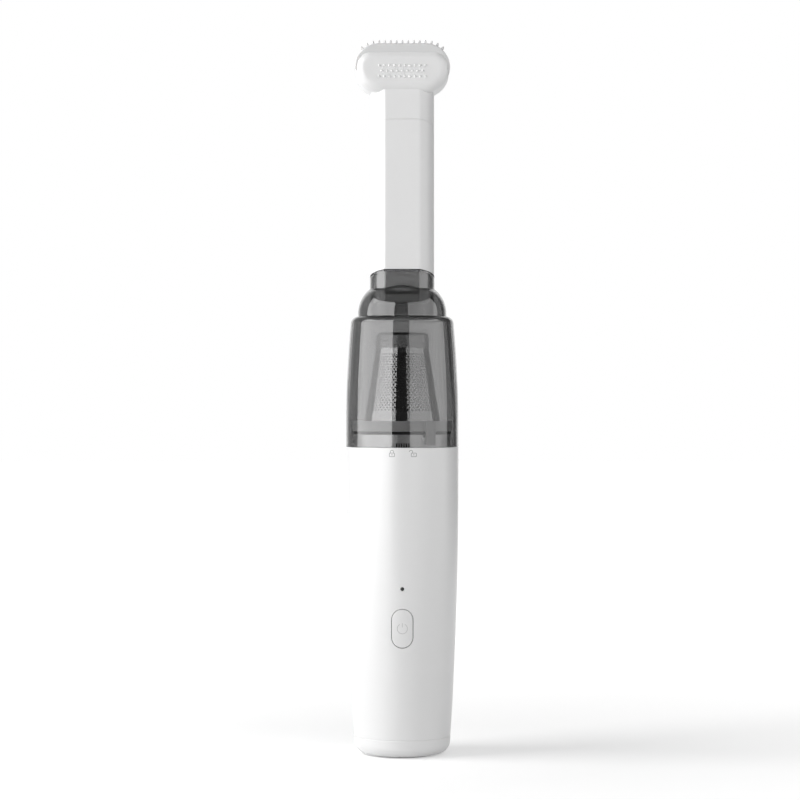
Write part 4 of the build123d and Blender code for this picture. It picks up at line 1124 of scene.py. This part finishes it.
def make_pad():
    flat_half = pad_half_width - head_end_radius
    toe_x, toe_z = pad_half_width - pad_toe_in, head_z - pad_toe_drop
    outer = (
        [Vector((toe_x, toe_z))]
        + arc(flat_half, head_z, head_end_radius, 0, 90, 24)
        + arc(-flat_half, head_z, head_end_radius, 90, 180, 24)
        + [Vector((-toe_x, toe_z))]
    )
    corner_x = housing_half_width - housing_corner
    corner_z = housing_top_z - housing_corner
    tucked = housing_corner - pad_tuck
    inner = (
        arc(-corner_x, corner_z, tucked, 180, 90, 16)
        + arc(corner_x, corner_z, tucked, 90, 0, 16)
    )
    pad = bmesh.new()
    add_bar(pad, outer + inner, -pad_half_depth, pad_half_depth)
    rims = []
    for edge in pad.edges:
        same_side = abs(edge.verts[0].co.y - edge.verts[1].co.y) < level
        reaches = [
            Vector((max(abs(v.co.x) - flat_half, 0.0), v.co.z - head_z)).length for v in edge.verts
        ]
        if same_side and all(abs(reach - head_end_radius) < touch for reach in reaches):
            rims.append(edge)
    bevel(pad, rims, pad_edge, 4)
    mouth = box_outline(-mouth_half_length, mouth_half_length,
                        -mouth_half_width, mouth_half_width, mouth_corner, steps=8)
    pad = combine(pad, post(mouth, head_z, head_z + 2 * head_end_radius), "DIFFERENCE")
    make_piece(pad, "silicone_pad", "head", "pad_silicone",
               ["brush_pad", "nub_strip_front", "nub_strip_back"], sharp_deg=35.0)


def make_nubs():
    """Soft fingers on the pad, round at the tip and thicker at the root."""
    one = spun(
        [
            (0, -nub_root),
            (nub_flare, -nub_root),
            (nub_flare, -0.1 * mm),
            (1.05 * nub_radius, 0.3 * mm),
            (0.92 * nub_radius, nub_height - nub_radius),
            (0.70 * nub_radius, nub_height - 0.35 * nub_radius),
            (0, nub_height),
        ],
        closed=False, steps=8,
    )
    finger = mesh_of(one, "finger")
    for side, name in ((-1, "front_fingers"), (1, "back_fingers")):
        bm = bmesh.new()
        for row in range(nub_row_count):
            y = side * (nub_first_row + row * nub_row_pitch)
            for x, z, tilt in nub_places():
                before = len(bm.verts)
                bm.from_mesh(finger)
                bm.verts.ensure_lookup_table()
                place = Matrix.Translation((x, y, z)) @ Matrix.Rotation(tilt, 4, "Y")
                bmesh.ops.transform(bm, matrix=place, verts=bm.verts[before:])
        make_piece(bm, name, "head", "pad_silicone", sharp_deg=50.0)
    bpy.data.meshes.remove(finger)


def make_bumps():
    """Staggered rows of low domes on the housing's front."""
    to_front = Matrix.Rotation(math.pi / 2, 4, "X")
    squash = Matrix.Diagonal((bump_radius, bump_radius, bump_height, 1.0))
    bm = bmesh.new()
    for row in range(bump_rows):
        columns = bump_columns - row % 2
        z = head_z + bump_top_row - row * bump_row_pitch
        for k in range(columns):
            x = (k - (columns - 1) / 2) * bump_pitch
            place = Matrix.Translation((x, -head_half_depth, z)) @ to_front
            bmesh.ops.create_uvsphere(
                bm, u_segments=16, v_segments=10, radius=1.0, matrix=place @ squash)
    bmesh.ops.bisect_plane(
        bm, geom=everything(bm), dist=weld,
        plane_co=(0, -head_half_depth + bump_foot, 0), plane_no=(0, 1, 0), clear_outer=True,
    )
    close_up(bm)
    make_piece(bm, "front_bumps", "head", "white_head", ["front_nubs"], sharp_deg=50.0)


def joined_copy(node):
    """Copy of a CAD piece's mesh with its triangles joined into flat faces."""
    bm = bmesh.new()
    bm.from_mesh(nodes[node].data)
    bmesh.ops.remove_doubles(bm, verts=bm.verts, dist=touch)
    bmesh.ops.dissolve_limit(
        bm, angle_limit=math.radians(0.8), use_dissolve_boundaries=False,
        verts=bm.verts, edges=bm.edges, delimit=set(),
    )
    return bm


def chamfer_copy(node, name, slot, edge):
    """Copy of a bright CAD piece, its outer edges cut flat so that its walls mirror evenly."""
    bm = joined_copy(node)
    edges = [e for e in bm.edges if len(e.link_faces) == 2 and e.is_convex
             and e.calc_face_angle() > edge_turn]
    bevel(bm, edges, edge, 1)
    make_piece(bm, name, nodes[node]["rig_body"], slot, [node])


def soften(node, name, slot, edge):
    """Copy of a CAD piece with its edges rounded."""
    make_piece(joined_copy(node), name, nodes[node]["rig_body"], slot, [node], edge=edge)


make_handle_shell()
make_base()
make_button()
make_status_light()
make_lock_mark("closed_lock_mark", closed_lock_x, False)
make_lock_mark("open_lock_mark", open_lock_x, True)
make_power_mark()
make_neck_marks()
make_cup()
make_duct()
make_filter_cone()
make_filter_cap()
make_tube()
make_housing()
make_pad()
make_nubs()
make_bumps()
chamfer_copy("neck_ring", "cup_neck", "neck_plastic", 0.2 * mm)
soften("filter_frame", "filter_cage", "filter_clear", 0.15 * mm)
soften("filter_seal", "flange_seal", "seal_rubber", 0.3 * mm)
soften("tube_seal", "spigot_seal", "white_tube", 0.3 * mm)

# Finishes of the CAD pieces that stay in view or inside
slots_of_nodes = {part["node"]: part["material_slot"] for part in frame["record"]["subparts"]}
for name, node in nodes.items():
    node.data.materials.clear()
    node.data.materials.append(finish[slots_of_nodes[name]])


# Stage, light and camera

def plain_material(mesh, name):
    """Material with no shader yet: its node tree and the socket for its surface."""
    material = bpy.data.materials.new(name)
    material.use_nodes = True
    mesh.materials.append(material)
    tree = material.node_tree
    tree.nodes.remove(tree.nodes["Principled BSDF"])
    return tree, tree.nodes["Material Output"].inputs["Surface"]


def seen_directly(tree):
    """1 for rays from the camera, and for those mirrored or let through by the object."""
    path = tree.nodes.new("ShaderNodeLightPath").outputs
    seen = blend_math(tree, "MAXIMUM", path["Is Camera Ray"], path["Is Glossy Ray"])
    return blend_math(tree, "MAXIMUM", seen, path["Is Transmission Ray"])


def place_card(bm, name, strength):
    """Turns a shape into a card that reflections and clear pieces see."""
    mesh = mesh_of(bm, name)
    card = placed(name, mesh)
    tree, surface = plain_material(mesh, name)
    glow = new_node(tree, "ShaderNodeEmission", Color=grey(1.0), Strength=strength)
    tree.links.new(glow.outputs["Emission"], surface)
    card.visible_camera = False
    card.visible_diffuse = False
    card.visible_shadow = False
    card.visible_volume_scatter = False


def add_card(name, start_deg, end_deg, strength):
    """Upright curved card. Azimuth 0 is towards the camera, and rises to the right."""
    bm = bmesh.new()
    start = Matrix.Rotation(math.radians(start_deg), 4, "Z") @ Vector((0, -card_distance, 0))
    verts = [bm.verts.new((start.x, start.y, z)) for z in (card_low, card_high)]
    edge = bm.edges.new(verts)
    bmesh.ops.spin(
        bm, geom=verts + [edge], cent=(0, 0, 0), axis=(0, 0, 1), dvec=(0, 0, 0),
        angle=math.radians(end_deg - start_deg), steps=card_steps,
        use_merge=False, use_duplicate=False,
    )
    place_card(bm, name, strength)


def add_ceiling():
    """Dim ceiling that clear and bright pieces reflect."""
    bm = bmesh.new()
    bmesh.ops.create_circle(bm, cap_ends=True, segments=48, radius=card_distance)
    bmesh.ops.translate(bm, verts=bm.verts, vec=(0, 0, card_high))
    place_card(bm, "dim_ceiling", 0.35)


def make_floor():
    """White floor that takes a soft shadow, and glows more with distance from the object."""
    bm = bmesh.new()
    bmesh.ops.create_grid(bm, x_segments=1, y_segments=1, size=floor_size)
    mesh = mesh_of(bm, "floor")
    floor = placed("floor", mesh)
    tree, surface = plain_material(mesh, "floor_white")
    paper = new_node(tree, "ShaderNodeBsdfDiffuse", Color=grey(0.8))
    reach = tree.nodes.new("ShaderNodeVectorMath")
    reach.operation = "LENGTH"
    tree.links.new(tree.nodes.new("ShaderNodeTexCoord").outputs["Object"], reach.inputs[0])
    spread = new_node(
        tree, "ShaderNodeMapRange", From_Min=0.12, From_Max=0.7, To_Min=0.38, To_Max=0.75,
        Value=reach.outputs["Value"],
    )
    strength = blend_math(tree, "MULTIPLY", seen_directly(tree), spread.outputs["Result"])
    glow = new_node(tree, "ShaderNodeEmission", Strength=strength)
    both = tree.nodes.new("ShaderNodeAddShader")
    tree.links.new(paper.outputs["BSDF"], both.inputs[0])
    tree.links.new(glow.outputs["Emission"], both.inputs[1])
    tree.links.new(both.outputs["Shader"], surface)


def make_world():
    """White room that lights the object less than it shows."""
    world = bpy.data.worlds.new("white_room")
    scene.world = world
    world.use_nodes = True
    tree = world.node_tree
    shown = blend_math(tree, "MULTIPLY", seen_directly(tree), 1.0 - ambient)
    strength = blend_math(tree, "ADD", shown, ambient)
    feed(tree, tree.nodes["Background"], Color=grey(1.0), Strength=strength)


def make_lamp(name, place, width, height, energy):
    """Soft lamp aimed at the object that reflections and clear pieces don't see."""
    lamp = bpy.data.lights.new(name, "AREA")
    lamp.shape = "RECTANGLE"
    lamp.size = width
    lamp.size_y = height
    lamp.energy = energy
    holder = placed(name, lamp)
    holder.location = place
    aim = aim_point - holder.location
    holder.rotation_euler = aim.to_track_quat("-Z", "Y").to_euler()
    holder.visible_glossy = False
    holder.visible_camera = False
    holder.visible_transmission = False


def make_camera():
    """Level camera square to the front, at half the object's height."""
    camera = bpy.data.cameras.new("camera")
    camera.lens = 108.0
    camera.sensor_width = 36.0
    camera.clip_end = 30.0
    holder = placed("camera", camera)
    holder.location = camera_place
    holder.rotation_euler = (math.pi / 2, 0, 0)
    scene.camera = holder


add_card("left_softbox", -104.0, -21.0, 4.7)
add_card("right_softbox", 15.5, 104.0, 2.3)
add_card("front_gap", -21.0, 15.5, 0.1)
add_card("left_flag", -152.0, -104.0, 0.3)
add_card("right_flag", 104.0, 152.0, 0.1)
add_ceiling()
make_floor()
make_world()
make_lamp("left_key", (-1.2, -0.25, 0.55), 0.9, 1.3, 18.0)
make_lamp("front_fill", (0.75, -1.5, 0.45), 1.4, 1.4, 9.5)
make_camera()
scene.view_settings.view_transform = "Standard"
